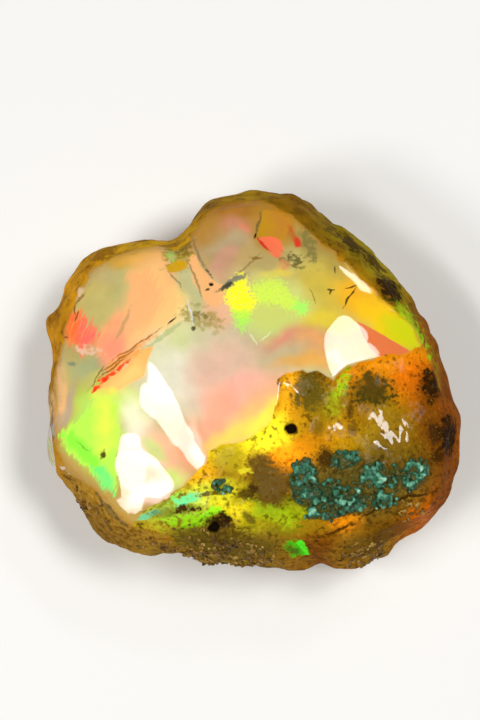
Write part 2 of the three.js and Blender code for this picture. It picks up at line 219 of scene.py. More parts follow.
def skin_waves(x, y, z):
    """Height of the skin's broad waves, which cross one another at odd angles."""
    return (
        0.2 * np.sin(0.58 * x + 0.31 * y - 0.44 * z + 0.6)
        + 0.16 * np.sin(-0.47 * x + 0.93 * y + 0.39 * z + 2.1)
        + 0.12 * np.sin(1.21 * x - 0.62 * y + 0.83 * z + 4.0)
        + 0.09 * np.sin(0.71 * x + 1.63 * y - 1.07 * z + 1.3)
        + 0.07 * np.sin(-1.93 * x + 0.84 * y + 1.38 * z + 5.2)
    )


def along_and_across(x, y, centre_x, centre_y, half_length, half_width, turn):
    """Where points lie in a turned oval, as shares of its half length and its half width."""
    c, s = math.cos(math.radians(turn)), math.sin(math.radians(turn))
    dx, dy = x - centre_x, y - centre_y
    return (c * dx + s * dy) / half_length, (c * dy - s * dx) / half_width


def seen(x, y, z):
    """Where a point shows on the plane of the face to the eye above it: x and y."""
    sunk = CROWN_HEIGHT - z
    return x / (1 + sunk / EYE_HEIGHT), (y - EYE_LEAN * sunk) / (1 + sunk / EYE_HEIGHT)


def face_height(x, y):
    """Height of the dome with its hollows and rises, and of the skin that laps over it."""
    dx, dy = x - CROWN_PLACE[0], y - CROWN_PLACE[1]
    z = CROWN_HEIGHT - dx**2 / (2 * DOME_RADIUS[0]) - dy**2 / (2 * DOME_RADIUS[1])
    for *oval, rise in FACE_FORMS:
        u, v = along_and_across(x, y, *oval)
        z = z + rise * np.exp(-u * u - v * v)
    skin = smoothstep(depth_inside(SKIN_PATCH, *seen(x, y, z)), -SKIN_EDGE, SKIN_EDGE)
    return z + skin * (skin_waves(x, y, 0) * SKIN_ROUGHNESS - SKIN_STEP)


def crust_lumps():
    """Centre and radius of every lump of the green crust, on spirals round the clusters' middles."""
    golden = math.pi * (3 - math.sqrt(5))
    for x, y, half_length, half_width, turn, count in CRUST_CLUSTERS:
        tilt = math.radians(turn)
        for i in range(count):
            share = math.sqrt((i + 0.5) / count)
            u, v = half_length * share * math.cos(i * golden), half_width * share * math.sin(i * golden)
            lump_x = x + u * math.cos(tilt) - v * math.sin(tilt)
            lump_y = y + u * math.sin(tilt) + v * math.cos(tilt)
            yield lump_x, lump_y, LUMP_RADII[i % len(LUMP_RADII)]


def cube_grid(n):
    """Points of a cube's surface, n squares along each edge, and its outward square faces."""
    i, j = (a.ravel() for a in np.meshgrid(np.arange(n), np.arange(n), indexing="ij"))
    corners, square = [], np.array([(0, 0), (1, 0), (1, 1), (0, 1)])
    for axis in range(3):
        for end in (0, n):
            a, b = i[:, None] + square[:, 0], j[:, None] + square[:, 1]
            cell = np.empty(a.shape + (3,), int)
            cell[..., axis], cell[..., (axis + 1) % 3], cell[..., (axis + 2) % 3] = end, a, b
            corners.append(cell if end else cell[:, ::-1])
    lattice = np.concatenate(corners)
    keys = (lattice[..., 0] * (n + 1) + lattice[..., 1]) * (n + 1) + lattice[..., 2]
    unique, faces = np.unique(keys.ravel(), return_inverse=True)
    points = np.stack([unique // (n + 1) ** 2, unique // (n + 1) % (n + 1), unique % (n + 1)], axis=-1)
    return points / n * 2 - 1, faces.reshape(-1, 4)


# The plain form: a cube's grid swollen to a ball, gathered towards the crown, and drawn out from
# there to the rim, the girth and the foot.
cube, faces = cube_grid(FINE_GRID)
direction = np.tan(cube * math.pi / 4)
direction /= np.linalg.norm(direction, axis=1, keepdims=True)
bearing = np.arctan2(direction[:, 1], direction[:, 0])
spread = np.arccos(np.clip(direction[:, 2], -1, 1))
tilt = spread - CROWN_SHARE * np.sin(spread)
down = np.degrees(tilt)
direction = np.stack(
    [np.sin(tilt) * np.cos(bearing), np.sin(tilt) * np.sin(bearing), np.cos(tilt)], axis=-1
)

girth = radius_by_bearing(GIRTH)(bearing) - SWELL_ROOM
rim = radius_by_bearing(RIM)(bearing) - SWELL_ROOM
foot = girth * FOOT_SHARE
widest = GIRTH_HEIGHT + GIRTH_SWAY * (np.sin(bearing + 0.9) + 0.5 * np.sin(3 * bearing + 2)) / 1.2
side_turn = np.clip((down - RIM_ANGLE) / (GIRTH_ANGLE - RIM_ANGLE), 0, 1) * math.pi / 2
belly_turn = np.clip((down - GIRTH_ANGLE) / (FOOT_ANGLE - GIRTH_ANGLE), 0, 1) * math.pi / 2
foot_sweep = np.sin(np.radians((180 - down) / 2)) / math.sin(math.radians((180 - FOOT_ANGLE) / 2))
radius = np.select(
    [down <= RIM_ANGLE, down <= GIRTH_ANGLE, down <= FOOT_ANGLE],
    [
        rim * np.sin(np.radians(down / 2)) / math.sin(math.radians(RIM_ANGLE / 2)),
        rim + (girth - rim) * np.sin(side_turn) ** (2 / RIM_SQUARENESS),
        foot + (girth - foot) * np.cos(belly_turn) ** (2 / BELLY_SQUARENESS),
    ],
    foot * foot_sweep,
)
x, y = radius * np.cos(bearing), radius * np.sin(bearing)
top = face_height(x, y)
z = np.select(
    [down <= RIM_ANGLE, down <= GIRTH_ANGLE, down <= FOOT_ANGLE],
    [
        top,
        widest + (top - widest) * np.cos(side_turn) ** (2 / RIM_SQUARENESS),
        widest * (1 - np.sin(belly_turn) ** (2 / BELLY_SQUARENESS)),
    ],
    0,
)

# The skin's waves and swells, then the scars of broken-off chips.
on_side = smoothstep(down, RIM_ANGLE - RIM_BLEND, GIRTH_ANGLE)
on_side *= 1 - smoothstep(down, GIRTH_ANGLE, FOOT_ANGLE) ** 4
push = skin_waves(x, y, z)
for swell_bearing, swell_down, reach, rise in SWELLS:
    b, d = math.radians(swell_bearing), math.radians(swell_down)
    toward = np.array([math.sin(d) * math.cos(b), math.sin(d) * math.sin(b), math.cos(d)])
    away = np.degrees(np.arccos(np.clip(direction @ toward, -1, 1)))
    push += rise * np.exp(-((away / reach) ** 2))
place = np.stack([x, y, z], axis=-1)
outward = place - (0, 0, GIRTH_HEIGHT)
place += outward / np.linalg.norm(outward, axis=1, keepdims=True) * (push * on_side)[:, None]

middle = np.array([0, 0, MIDDLE_HEIGHT])
out = place - middle
whole = np.linalg.norm(out, axis=1)
out /= whole[:, None]
reach = whole.copy()
for *ball_place, ball_radius in SCARS:
    away = np.array(ball_place) - middle
    along = out @ away
    half_chord_squared = ball_radius**2 - away @ away + along**2
    meets = (half_chord_squared > 0) & (along > 0)
    cut = np.where(meets, along - np.sqrt(np.maximum(half_chord_squared, 0)), np.inf)
    overlap = np.maximum(0, SCAR_EDGE - np.abs(reach - cut)) / SCAR_EDGE
    reach = np.minimum(reach, cut) - overlap**2 * SCAR_EDGE / 4
place = middle + out * reach[:, None]

# How far each point lies inside the face's rim, the skin patch and the scars, and how much of it the
# side of the stone, the crust and standing water cover.
upper = down < GIRTH_ANGLE
rind_edge = np.interp(np.degrees(bearing), *np.array(RIND_EDGE).T)
rim_depth = np.where(upper, rim + rind_edge - radius, HIDDEN)
seen_x, seen_y = seen(x, y, z)
skin_depth = np.where(upper, depth_inside(SKIN_PATCH, seen_x, seen_y), HIDDEN)
chipped = whole - reach - SCAR_EDGE / 4
scar_depth = np.where(chipped > 0, chipped, UNBROKEN)
# flank: how far out on the side a point lies, 1 underneath; it darkens the rind as painted shade and makes
# the sides drier
flank = smoothstep(radius - rim, -0.4, 1.0) * upper + ~upper


def cover_of(ovals):
    """How much the ovals cover each point of the stone's upper side, from 0 to 1."""
    cover = np.zeros(upper.shape)
    for *oval, amount in ovals:
        out_by = np.hypot(*along_and_across(seen_x, seen_y, *oval))
        cover = np.maximum(cover, amount * upper * (1 - smoothstep(out_by, *COVER_EDGE)))
    return cover


crust_cover = cover_of(CRUST_BEDS)
wet = cover_of(WET_SPOTS)

# The crust's lumps and the skin's pits, on the face side.
for lump_x, lump_y, lump_radius in crust_lumps():
    spare = lump_radius**2 - (x - lump_x) ** 2 - (y - lump_y) ** 2
    middle_height = face_height(np.array([lump_x]), np.array([lump_y]))[0] - LUMP_SUNK * lump_radius
    dome = middle_height + BALL_FLATNESS * np.sqrt(np.maximum(spare, 0))
    on_lump = (spare > 0) & (down < LOWEST_LUMP) & (dome > place[:, 2])
    place[on_lump, 2] = dome[on_lump]
pit_depth = np.full(x.shape, -1.0)
for pit_x, pit_y, pit_radius in PITS:
    spare = pit_radius**2 - (x - pit_x) ** 2 - (y - pit_y) ** 2
    middle_height = face_height(np.array([pit_x]), np.array([pit_y]))[0] - PIT_SUNK * pit_radius
    bowl = middle_height - BALL_FLATNESS * np.sqrt(np.maximum(spare, 0))
    in_pit = (spare > 0) & (down < LOWEST_LUMP) & (bowl < place[:, 2])
    place[in_pit, 2] = bowl[in_pit]
    pit_depth = np.maximum(pit_depth, pit_radius - np.hypot(x - pit_x, y - pit_y))

stone = bpy.data.objects.new("rough_opal", bpy.data.meshes.new("rough_opal"))
bpy.context.scene.collection.objects.link(stone)
stone.data.from_pydata(place.tolist(), [], faces.tolist())
normal = np.empty(place.size)
stone.data.vertices.foreach_get("normal", normal)
normal = normal.reshape(-1, 3)


def uneven(spacing, octaves):
    """Fractal noise at every point of the stone, with its largest bumps this many millimetres apart."""
    return np.array([noise.fractal(Vector(p) / spacing, 1.0, 2.0, octaves) for p in place])


# The fine relief, which dies out towards the flat foot.
face = smoothstep(rim_depth, -0.3, 0.4) * (1 - smoothstep(skin_depth, -0.2, 0.3))
bare = np.maximum(face, smoothstep(scar_depth, 0, 0.3))
gritty = np.zeros(x.shape)
for grit_bearing, half_width in GRITTY_SIDES:
    off = np.abs(np.degrees(bearing) % 360 - grit_bearing)
    gritty = np.maximum(gritty, 1 - smoothstep(off, half_width * GRITTY_CORE, half_width))
gritty *= smoothstep(-rim_depth, -0.2, 0.3) * upper
relief = (1 - bare) * (KNOB_HEIGHT * uneven(KNOB_SPACING, 3) + GRAIN_HEIGHT * uneven(GRAIN_SPACING, 2))
relief += bare * RIPPLE_HEIGHT * uneven(RIPPLE_SPACING, 2)
relief += gritty * GRIT_HEIGHT * uneven(GRIT_SPACING, 2)
place += normal * (relief * smoothstep(180 - down, 20, 40))[:, None]

# Set down on the foot, over the middle of the solid's box and inside it.
place[:, 2] = np.maximum(place[:, 2], 0)
place[:, :2] -= (place[:, :2].min(axis=0) + place[:, :2].max(axis=0)) / 2
place = np.clip(place, *(np.array(corner) / MILLIMETRE for corner in cad_box))
stone.data.vertices.foreach_set("co", (place * MILLIMETRE).astype(np.float32).ravel())
stone.data.shade_smooth()
stone.data.update()
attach(stone, "root")
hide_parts("opal")

# What the materials read at each of the stone's points. Each kind of attribute has a field for it.
ATTRIBUTE_FIELDS = {"FLOAT": "value", "FLOAT_VECTOR": "vector", "FLOAT_COLOR": "color"}


def mark(mesh, name, values, kind="FLOAT"):
    """Stores a number, a place or a colour at each point of a mesh."""
    attribute = mesh.attributes.new(name, kind, "POINT")
    attribute.data.foreach_set(ATTRIBUTE_FIELDS[kind], values.astype(np.float32).ravel())


for name, values in (
    ("rim_depth", rim_depth), ("skin_depth", skin_depth), ("scar_depth", scar_depth),
    ("crust_cover", crust_cover), ("pit_depth", pit_depth), ("grit", gritty), ("flank", flank),
    ("wet", wet),
):
    mark(stone.data, name, values)
seen_place = np.stack([*seen(*place.T), place[:, 2]], axis=-1)
flare = 1 + STAIN_FLARE * np.maximum(0, FLARE_HEIGHT - seen_place[:, 2:])
mark(stone.data, "seen_place", seen_place * flare, "FLOAT_VECTOR")

# The finish: wet precious opal. The milky body shows soft clouds of colour, and the flashes are
# layers of it that split light. Each flash, stain and crack is a patch of colour with a place in
# millimetres on the stone, laid over what lies under it.


def linear(hex_colour):
    """An sRGB hex colour as linear red, green, blue and alpha."""
    channels = (int(hex_colour[i : i + 2], 16) / 255 for i in (1, 3, 5))
    return (*(c / 12.92 if c <= 0.04045 else ((c + 0.055) / 1.055) ** 2.4 for c in channels), 1.0)


# The soft clouds of colour, each over the ones before it. The milky body glows in pastel fans where
# layers deep inside it split the light; the skin and the rind are stained gold, orange and brown.
# Each row: colour, x, y, half length, half width, turn, strength.
FACE_CLOUDS = [
    ("#b8964a", 0.0, 0.0, 40.0, 40.0, 0, 1.0),
    ("#c6ba84", -2.0, 0.5, 12.0, 9.0, 0, 1.0),
    ("#c8a550", -12.0, 6.6, 6.4, 5.2, 30, 0.95),  # left lobe
    ("#bcb06a", -13.2, 5.0, 2.4, 3.4, 60, 0.9),
    ("#b4ae70", -11.8, 7.0, 1.6, 3.0, 10, 0.8),
    ("#c8952c", -12.4, 9.8, 5.4, 1.0, 10, 0.85),
    ("#e0a850", -9.6, 10.0, 2.4, 0.9, 0, 0.8),
    ("#ecae74", -9.4, 4.6, 6.8, 2.5, 66, 1.0),
    ("#ecd07c", -7.2, 5.2, 3.2, 1.3, 70, 0.95),
    ("#fb9a6c", -12.6, 1.9, 2.6, 1.4, 52, 0.95),
    ("#b8a878", -14.0, 8.4, 1.6, 1.2, 0, 0.6),
    ("#b09c60", -16.4, 1.0, 2.2, 1.6, 0, 0.9),
    ("#b6ac68", -15.6, -1.4, 2.2, 2.4, 0, 0.95),
    ("#a0a474", -15.0, 0.0, 1.8, 0.8, 10, 0.9),
    ("#b4bc50", -14.6, -2.6, 2.0, 1.4, 30, 0.9),
    ("#cfcfae", -6.4, -0.2, 4.6, 4.0, 20, 0.95),  # milky middle
    ("#c6cc84", -7.6, 1.6, 2.8, 1.2, 35, 0.85),
    ("#c8bc96", -0.8, 2.4, 4.2, 2.2, 10, 0.85),
    ("#c0a68c", 0.6, 2.6, 2.8, 1.2, 0, 0.7),
    ("#e0b098", -3.0, -2.4, 3.4, 3.6, 0, 0.9),  # pink and orange clouds
    ("#d4ae96", -1.4, 0.2, 3.0, 1.4, 0, 0.7),
    ("#eeac98", -0.2, -1.8, 3.0, 1.2, 30, 0.9),
    ("#f8ac80", 1.6, -3.4, 2.8, 1.9, 35, 0.95),
    ("#f4a684", -3.0, -4.4, 2.6, 1.6, 60, 0.85),
    ("#fa9a72", -5.6, -7.4, 1.4, 2.2, 30, 0.95),
    ("#ffc070", 0.2, -4.8, 3.6, 1.2, 30, 0.9),
    ("#ffd05c", -1.2, -6.2, 3.0, 0.9, 26, 0.95),
    ("#ffe24c", 1.6, -5.2, 2.8, 1.0, 46, 0.95),
    ("#c88c6c", 4.6, 2.6, 3.6, 1.5, 5, 0.9),
    ("#d4806a", 3.4, 2.9, 2.2, 0.6, 15, 0.7),
    ("#dc9a5c", 5.6, 1.4, 1.8, 1.3, 0, 0.9),
    ("#b8a880", 3.2, 0.4, 2.2, 1.2, 20, 0.7),
    ("#e0a448", 4.6, 0.0, 2.2, 0.7, 0, 0.85),
    ("#9c8444", 6.4, 9.8, 3.6, 2.0, -35, 0.95),  # the right side, olive to yellow
    ("#beb268", 3.8, 8.4, 2.2, 2.0, 0, 0.9),
    ("#c8b040", 6.2, 6.4, 2.8, 3.0, 0, 0.95),
    ("#d8c034", 7.0, 3.9, 2.2, 1.1, 0, 0.9),
    ("#d8b034", 8.4, 7.2, 1.2, 1.8, -30, 0.85),
    ("#eeb01c", 10.2, 5.6, 3.4, 1.4, -38, 0.95),
    ("#e8c810", 12.0, 3.9, 3.0, 1.2, -40, 0.95),
    ("#ccc40c", 13.8, 3.2, 2.6, 1.1, -48, 0.95),
    ("#b09410", 13.6, 5.3, 2.2, 0.6, -48, 0.9),
    ("#b8b480", -5.8, 7.2, 4.4, 1.0, 108, 0.95),  # groove from the notch
    ("#e0aa84", -2.8, 4.8, 1.7, 1.4, 90, 0.9),
    ("#c8cc74", 2.6, 5.2, 2.8, 1.9, -10, 0.95),  # yellow and lime
    ("#bcc878", 1.2, 3.6, 1.6, 1.2, 40, 0.9),
    ("#e4c840", 1.8, 8.3, 1.4, 0.6, 0, 0.7),
    ("#b0843c", -3.0, 12.8, 3.4, 3.2, 60, 1.0),  # scoop in the top lobe
    ("#a06a24", -2.0, 14.6, 3.8, 1.2, 12, 0.95),
    # painted glow of light through the thin upper left edge of the lobe
    ("#a8740e", -5.2, 12.6, 0.9, 3.0, -20, 0.6),
    ("#bf8062", -2.2, 13.0, 2.2, 0.8, 15, 0.85),
    ("#e07858", -0.9, 12.8, 0.6, 0.5, 40, 0.8),
    ("#b09a74", -2.8, 11.2, 2.6, 1.4, 15, 0.95),
    ("#a87c34", -4.6, 12.6, 1.6, 1.5, 0, 0.75),
    ("#c89478", -2.6, 9.2, 1.5, 1.2, 40, 0.9),
    ("#b89c60", -0.7, 10.2, 1.8, 0.8, 60, 0.85),
    ("#a8781a", 2.2, 13.4, 2.2, 2.0, 60, 1.0),  # gold facet
    ("#b0802a", 1.4, 12.0, 1.4, 1.3, 0, 0.9),
    ("#a86020", 3.6, 12.4, 1.2, 0.5, 115, 0.8),
    ("#b09c60", 0.9, 9.6, 1.8, 0.7, 20, 0.9),
    ("#c0d050", -13.6, -3.6, 2.8, 1.8, 20, 0.95),  # round the neon green flash
    ("#dce88c", -11.2, -4.2, 1.6, 1.6, 70, 0.9),
    ("#e2dcc4", -7.4, -0.8, 1.8, 3.4, 28, 0.7),
    # the next three pale clouds are a painted haze of light round the highlights of the left soft boxes
    ("#f0eccc", -10.7, -5.6, 1.2, 2.0, -20, 0.75),
    ("#fcf0d4", -9.0, -8.0, 1.3, 2.6, 28, 0.85),
    ("#fcd8bc", -4.9, -7.2, 0.5, 2.2, 28, 0.7),
    ("#f0b48c", -7.6, -8.6, 3.0, 1.3, 125, 0.95),
    ("#c4e080", -8.6, -8.0, 1.6, 0.7, 120, 0.7),
    ("#c8e070", -7.4, -11.0, 1.6, 0.8, 30, 0.85),
    ("#f8d4c0", -9.2, -12.0, 1.8, 0.8, 20, 0.9),
    ("#e8b478", -17.8, -2.8, 3.0, 0.5, 88, 0.95),
    ("#b8a084", -17.0, -3.6, 2.2, 0.5, 80, 0.9),
]
SKIN_CLOUDS = [
    ("#8a5c08", 0.0, 0.0, 60.0, 60.0, 0, 1.0),
    ("#ff9c08", 12.0, -0.6, 4.8, 2.1, 14, 1.0),
    ("#f07806", 14.6, -1.8, 1.8, 2.6, 10, 0.9),
    ("#ac8608", 9.0, -5.6, 5.6, 3.0, 0, 0.95),
    ("#9c6c06", 9.4, -4.0, 2.0, 1.8, 0, 0.9),
    ("#d09408", 7.0, -6.4, 2.6, 1.7, 0, 0.9),
    ("#86680c", 12.6, -8.0, 2.4, 1.2, 0, 0.9),
    ("#7c4204", 16.6, -5.4, 2.0, 5.4, 0, 0.95),
    ("#844204", 18.4, -6.0, 1.2, 6.6, 0, 0.9),
    ("#9c7e0c", 6.4, -3.6, 1.6, 1.6, 0, 0.85),
    ("#f8ac14", 3.5, -3.4, 1.2, 2.4, 0, 0.95),
    ("#d88c0a", 5.2, -7.3, 1.8, 1.4, 0, 0.9),
    ("#ff9a10", 2.9, -8.2, 1.9, 1.9, 0, 1.0),
    ("#ffd420", 2.6, -6.0, 1.2, 1.3, 30, 0.95),
    ("#ffec28", 0.9, -6.9, 2.6, 1.1, 22, 1.0),
    ("#e0c41c", -2.2, -8.4, 2.2, 1.7, 0, 1.0),
    ("#e4a414", -4.4, -10.0, 1.8, 1.3, 30, 0.95),
    ("#b4a418", -2.0, -11.6, 2.4, 1.0, 0, 0.9),
    ("#d6c012", -1.2, -12.8, 2.8, 1.2, -12, 1.0),
    ("#98a808", 2.6, -14.2, 2.8, 1.5, -8, 1.0),
    ("#a89c0c", 0.4, -14.7, 2.2, 0.9, 0, 0.95),
    ("#ccd030", -4.8, -12.2, 2.4, 1.1, 12, 1.0),
    ("#a8bc38", -7.0, -13.2, 2.6, 1.0, 12, 1.0),
    ("#a08c1c", -7.2, -15.2, 3.4, 1.2, -10, 0.95),
    ("#8c8a14", -4.8, -14.9, 1.8, 0.9, 0, 0.9),
    ("#7c6618", -1.8, -16.6, 5.2, 1.7, -3, 1.0),
    ("#6a3a04", 6.5, -17.0, 1.5, 1.9, 0, 0.95),
    ("#8a6418", 10.2, -16.6, 2.6, 1.7, 0, 0.9),
    ("#cc7a0a", 8.2, -14.3, 1.9, 0.7, 10, 1.0),
    ("#6c4806", 12.2, -14.0, 2.8, 1.3, 22, 0.95),
    ("#b05808", 15.6, -14.6, 3.0, 1.5, 50, 0.95),
    ("#783a02", 17.6, -10.8, 1.6, 3.2, 0, 0.95),
    ("#50481a", 9.8, -11.0, 6.2, 2.4, 4, 0.9),
]
RIND_CLOUDS = [
    ("#9a6c0c", 0.0, 0.0, 60.0, 60.0, 0, 1.0),
    ("#b48c10", -1.0, 15.9, 6.4, 1.4, 0, 0.9),
    ("#a07410", -4.5, 14.4, 2.2, 1.4, 40, 0.8),
    ("#8c6408", 5.3, 14.3, 4.4, 2.4, -38, 0.95),
    ("#9c880a", 10.1, 10.9, 5.4, 1.7, -44, 0.95),
    ("#aa9808", 12.2, 8.5, 2.8, 0.8, -55, 0.8),
    ("#945208", 16.6, 4.1, 1.6, 4.8, 18, 0.95),
    ("#8c4404", 18.6, -3.6, 1.6, 6.4, 0, 0.95),
    ("#c09018", -6.5, 11.7, 1.8, 2.0, 40, 0.95),
    ("#d8a416", -11.0, 11.0, 6.0, 1.3, 4, 0.95),
    ("#e09c14", -15.9, 7.5, 3.2, 1.6, 58, 0.9),
    ("#d08e10", -18.0, 1.5, 1.5, 3.2, 0, 0.95),
    ("#eabc78", -18.4, -4.6, 1.3, 1.5, 0, 0.95),
    ("#9c9084", -17.8, -5.9, 1.0, 1.5, -50, 0.9),
    ("#c48414", -18.2, -8.6, 1.7, 1.5, 40, 0.95),
    ("#bc8a24", -13.3, -13.8, 6.0, 2.4, -50, 0.95),
    ("#6c4406", -13.0, -15.8, 4.4, 1.2, -46, 0.9),
    ("#543404", -14.4, -18.8, 5.0, 1.7, -46, 0.9),
    ("#967414", -5.7, -17.6, 4.4, 1.4, -5, 0.9),
    ("#846818", 0.0, -18.8, 5.4, 1.6, 0, 0.9),
    ("#904f06", 6.5, -19.3, 3.4, 1.6, 0, 0.9),
    ("#b45806", 13.0, -17.9, 5.0, 1.8, 40, 0.95),
    ("#944604", 17.9, -11.7, 2.0, 5.0, 0, 0.95),
]
CLOUD_SOFTNESS = 0.6  # half the width of a cloud's edge, as a share of its size
# The clouds' edges swirl, by broad swirls and weaker fine ones this many millimetres apart.
BROAD_SWIRLS, FINE_SWIRLS, FINE_STRENGTH = 4.0, 1.3, 0.4
noise.seed_set(16)  # without a seed, the noise takes one from the clock
swirls = [
    noise.noise_vector(Vector(p) / BROAD_SWIRLS)
    + noise.noise_vector(Vector(p) / FINE_SWIRLS) * FINE_STRENGTH
    for p in place
]
swirled = seen_place + np.array(swirls)


def clouds(rows):
    """A linear colour for each point of the stone, from patches laid in order."""
    colour = np.ones((len(swirled), 4))
    for tint, *oval, strength in rows:
        out_by = np.hypot(*along_and_across(swirled[:, 0], swirled[:, 1], *oval))
        cover = strength * (1 - smoothstep(out_by, 1 - CLOUD_SOFTNESS, 1 + CLOUD_SOFTNESS))
        colour += cover[:, None] * (np.array(linear(tint)) - colour)
    return colour


for name, rows in (
    ("face_clouds", FACE_CLOUDS), ("skin_clouds", SKIN_CLOUDS), ("rind_clouds", RIND_CLOUDS),
):
    mark(stone.data, name, clouds(rows), "FLOAT_COLOR")

# The sharp flashes, each bounded by breaks in the opal's layers: colour, edge, strength, outline.
FLASHES = [
    ("#f2bc74", "melting", 0.85, [
        (-11.3, 8.8), (-8.4, 9.5), (-7.4, 7.5), (-6.4, 6.1),
        (-6.6, 5), (-8.5, 3.4), (-11.4, 1.4), (-11.2, 6.1),
    ]),  # peach band of the left lobe
    ("#f8a870", "streaked", 0.7, [
        (-11.3, 8.4), (-9.5, 8.9), (-8.6, 7.6), (-8.2, 6), (-9.4, 4), (-12.2, 1.9),
        (-13.3, 0.2), (-14, 1.6), (-12.8, 3), (-11.7, 4.8), (-11.2, 6.1),
    ]),
    ("#ff8f70", "melting", 0.9, [(-14, 1.6), (-13.3, 0.2), (-11.8, 1.4), (-12.4, 2.9), (-13.1, 2.7)]),
    ("#fb6f36", "streaked", 1, [
        (-17.6, 5), (-16, 5.2), (-15.1, 4),
        (-15.3, 2.1), (-15.9, 1.3), (-17.2, 2.5),
    ]),  # coral feather
    ("#fb6a5c", "streaked", 1, [
        (-15.6, 4.3), (-14.3, 3.4), (-13.9, 2.6),
        (-14.7, 1.9), (-15.5, 1.1), (-16.1, 2.3),
    ]),
    ("#ffb464", "clean", 1, [
        (-14.4, -2.2), (-11.4, -0.1), (-10.5, 1.4), (-9, 1.7), (-9.5, 0.4),
        (-9.9, -1.1), (-11.4, -1.8), (-12.9, -2.8), (-13.8, -3.4), (-14.4, -2.9),
    ]),  # wedge under the crack
    ("#ffcc78", "melting", 0.8, [(-12.9, -1.7), (-10.6, 0.2), (-10.0, -0.9), (-11.4, -1.8), (-12.7, -2.5)]),
    ("#f2b070", "torn", 0.85, [
        (-6, 9.9), (-5.4, 10.4), (-4.7, 9), (-3.3, 7.7), (-2.6, 7),
        (-2.5, 6.1), (-2.9, 5.2), (-3.8, 5.3), (-4.5, 6.2), (-5.4, 7.4),
    ]),  # peach wedge beside the groove
    ("#b8861a", "clean", 1, [
        (0.9, 14.3), (2.9, 14.3), (3.7, 13.4), (3, 11.5),
        (1.4, 11.6), (0.3, 12), (0.6, 13.1),
    ]),  # gold facet
    ("#b87a28", "melting", 0.9, [(1.8, 14.3), (3, 14.3), (3.7, 13.4), (3.3, 11.7), (2, 11.7)]),
    ("#f4704c", "torn", 0.9, [
        (0.4, 11.7), (1.5, 11.8), (2.7, 11.6), (3, 10.6),
        (2.3, 9.7), (1.6, 10.5), (0.9, 11.1),
    ]),  # coral facet
    ("#c0481c", "torn", 0.85, [
        (3.2, 13.0), (3.6, 12.9), (4.3, 11.8),
        (4.7, 10.9), (4.1, 10.8), (3.6, 11.9),
    ]),
    ("#c4cc68", "melting", 0.9, [
        (0.2, 8.2), (1.5, 8.2), (2.3, 7.9), (4.2, 6), (5.1, 5.2),
        (4.5, 4.4), (3.2, 3.7), (1.5, 3), (0, 3.3), (-0.6, 4.9),
    ]),  # lime flash
    ("#cdec4c", "mottled", 0.9, [
        (-0.2, 7.2), (1.7, 7.9), (2.6, 7.7), (4.2, 6), (5.1, 5.3),
        (4.6, 4.5), (3.3, 5.1), (1.8, 5.5), (0.4, 5.7),
    ]),
    ("#90f068", "mottled", 0.8, [(4.1, 5.9), (5.1, 5.5), (5.1, 4.8), (4.4, 4.6), (3.7, 5.3)]),
    ("#f8f41e", "mottled", 1, [
        (-1, 8.5), (-0.5, 7.8), (-0.1, 6.7), (0.5, 5.8), (-0.2, 4.9),
        (-0.8, 4.3), (-1.8, 4.8), (-2.4, 5.8), (-2.5, 6.8), (-1.5, 7.9),
    ]),  # yellow flash
    ("#a8ec48", "mottled", 0.9, [(-1.9, 5.0), (-0.4, 4.9), (-0.1, 4), (-0.9, 2.9), (-1.5, 3.6)]),
    ("#e8a820", "melting", 1, [
        (8.6, 6.6), (9, 7.7), (11.1, 6.4), (12.6, 5.3), (11.1, 4.7), (9, 5.3),
    ]),  # yellow band
    ("#f0c018", "melting", 0.9, [(9.2, 6), (12.2, 5.8), (13.8, 4.5), (14, 3.4), (12.9, 2.9), (10, 4.5)]),
    ("#c8cc10", "melting", 0.9, [(11.8, 4.2), (14, 4.7), (14.9, 3.3), (15.2, 1.8), (14.1, 2), (12.4, 2.9)]),
    ("#dc7440", "clean", 1, [
        (9.6, 3.9), (10.2, 3.7), (12, 2.7), (13.9, 1.6),
        (14.6, 1.1), (13.5, 0.8), (11.8, 0.5), (10.7, 1.6),
    ]),  # salmon wedge
    ("#b4dc60", "melting", 1, [
        (-15.5, -3.5), (-13.7, -2.4), (-12.4, -3.2), (-12, -6.8),
        (-12.5, -11.2), (-14.2, -10), (-16.6, -7.9),
    ]),  # neon green flash
    ("#b8f850", "neon", 1, [
        (-17.5, -6.5), (-15.7, -4.9), (-13.8, -3.1), (-12.4, -3.5),
        (-12.1, -6.8), (-12.3, -11.6), (-14.4, -10), (-16.8, -7.9),
    ]),
    ("#8afa3c", "neon", 0.9, [
        (-17.5, -6.5), (-16.4, -6.2), (-15.2, -7.0),
        (-14.2, -8.4), (-13.4, -9.9), (-14.2, -10.0), (-16.2, -7.8),
    ]),
    ("#68f87c", "neon", 0.8, [
        (-14.6, -9.4), (-13.4, -9.3), (-12.5, -10.6), (-12.4, -12.0), (-13.6, -11.2),
    ]),
    ("#e4f450", "melting", 1, [
        (-14.2, -3), (-12.8, -2.8), (-12.4, -5),
        (-12.7, -7.4), (-13.5, -7.9), (-14.0, -5.9),
    ]),
]
for i, (_, _, _, outline) in enumerate(FLASHES):
    mark(stone.data, f"flash_{i}", depth_inside(outline, seen_place[:, 0], seen_place[:, 1]))
FLASH_EDGES = {  # softness of the edge in millimetres, how torn it is, by which noise, and mottling
    "melting": (0.9, 0.8, "torn", 0.0),
    "streaked": (0.35, 1.1, "streaked", 0.5),
    "torn": (0.15, 0.5, "torn", 0.0),
    "clean": (0.08, 0.12, "torn", 0.0),
    "neon": (0.3, 0.5, "streaked", 0.0),
    "mottled": (0.35, 0.9, "grainy", 0.4),
}

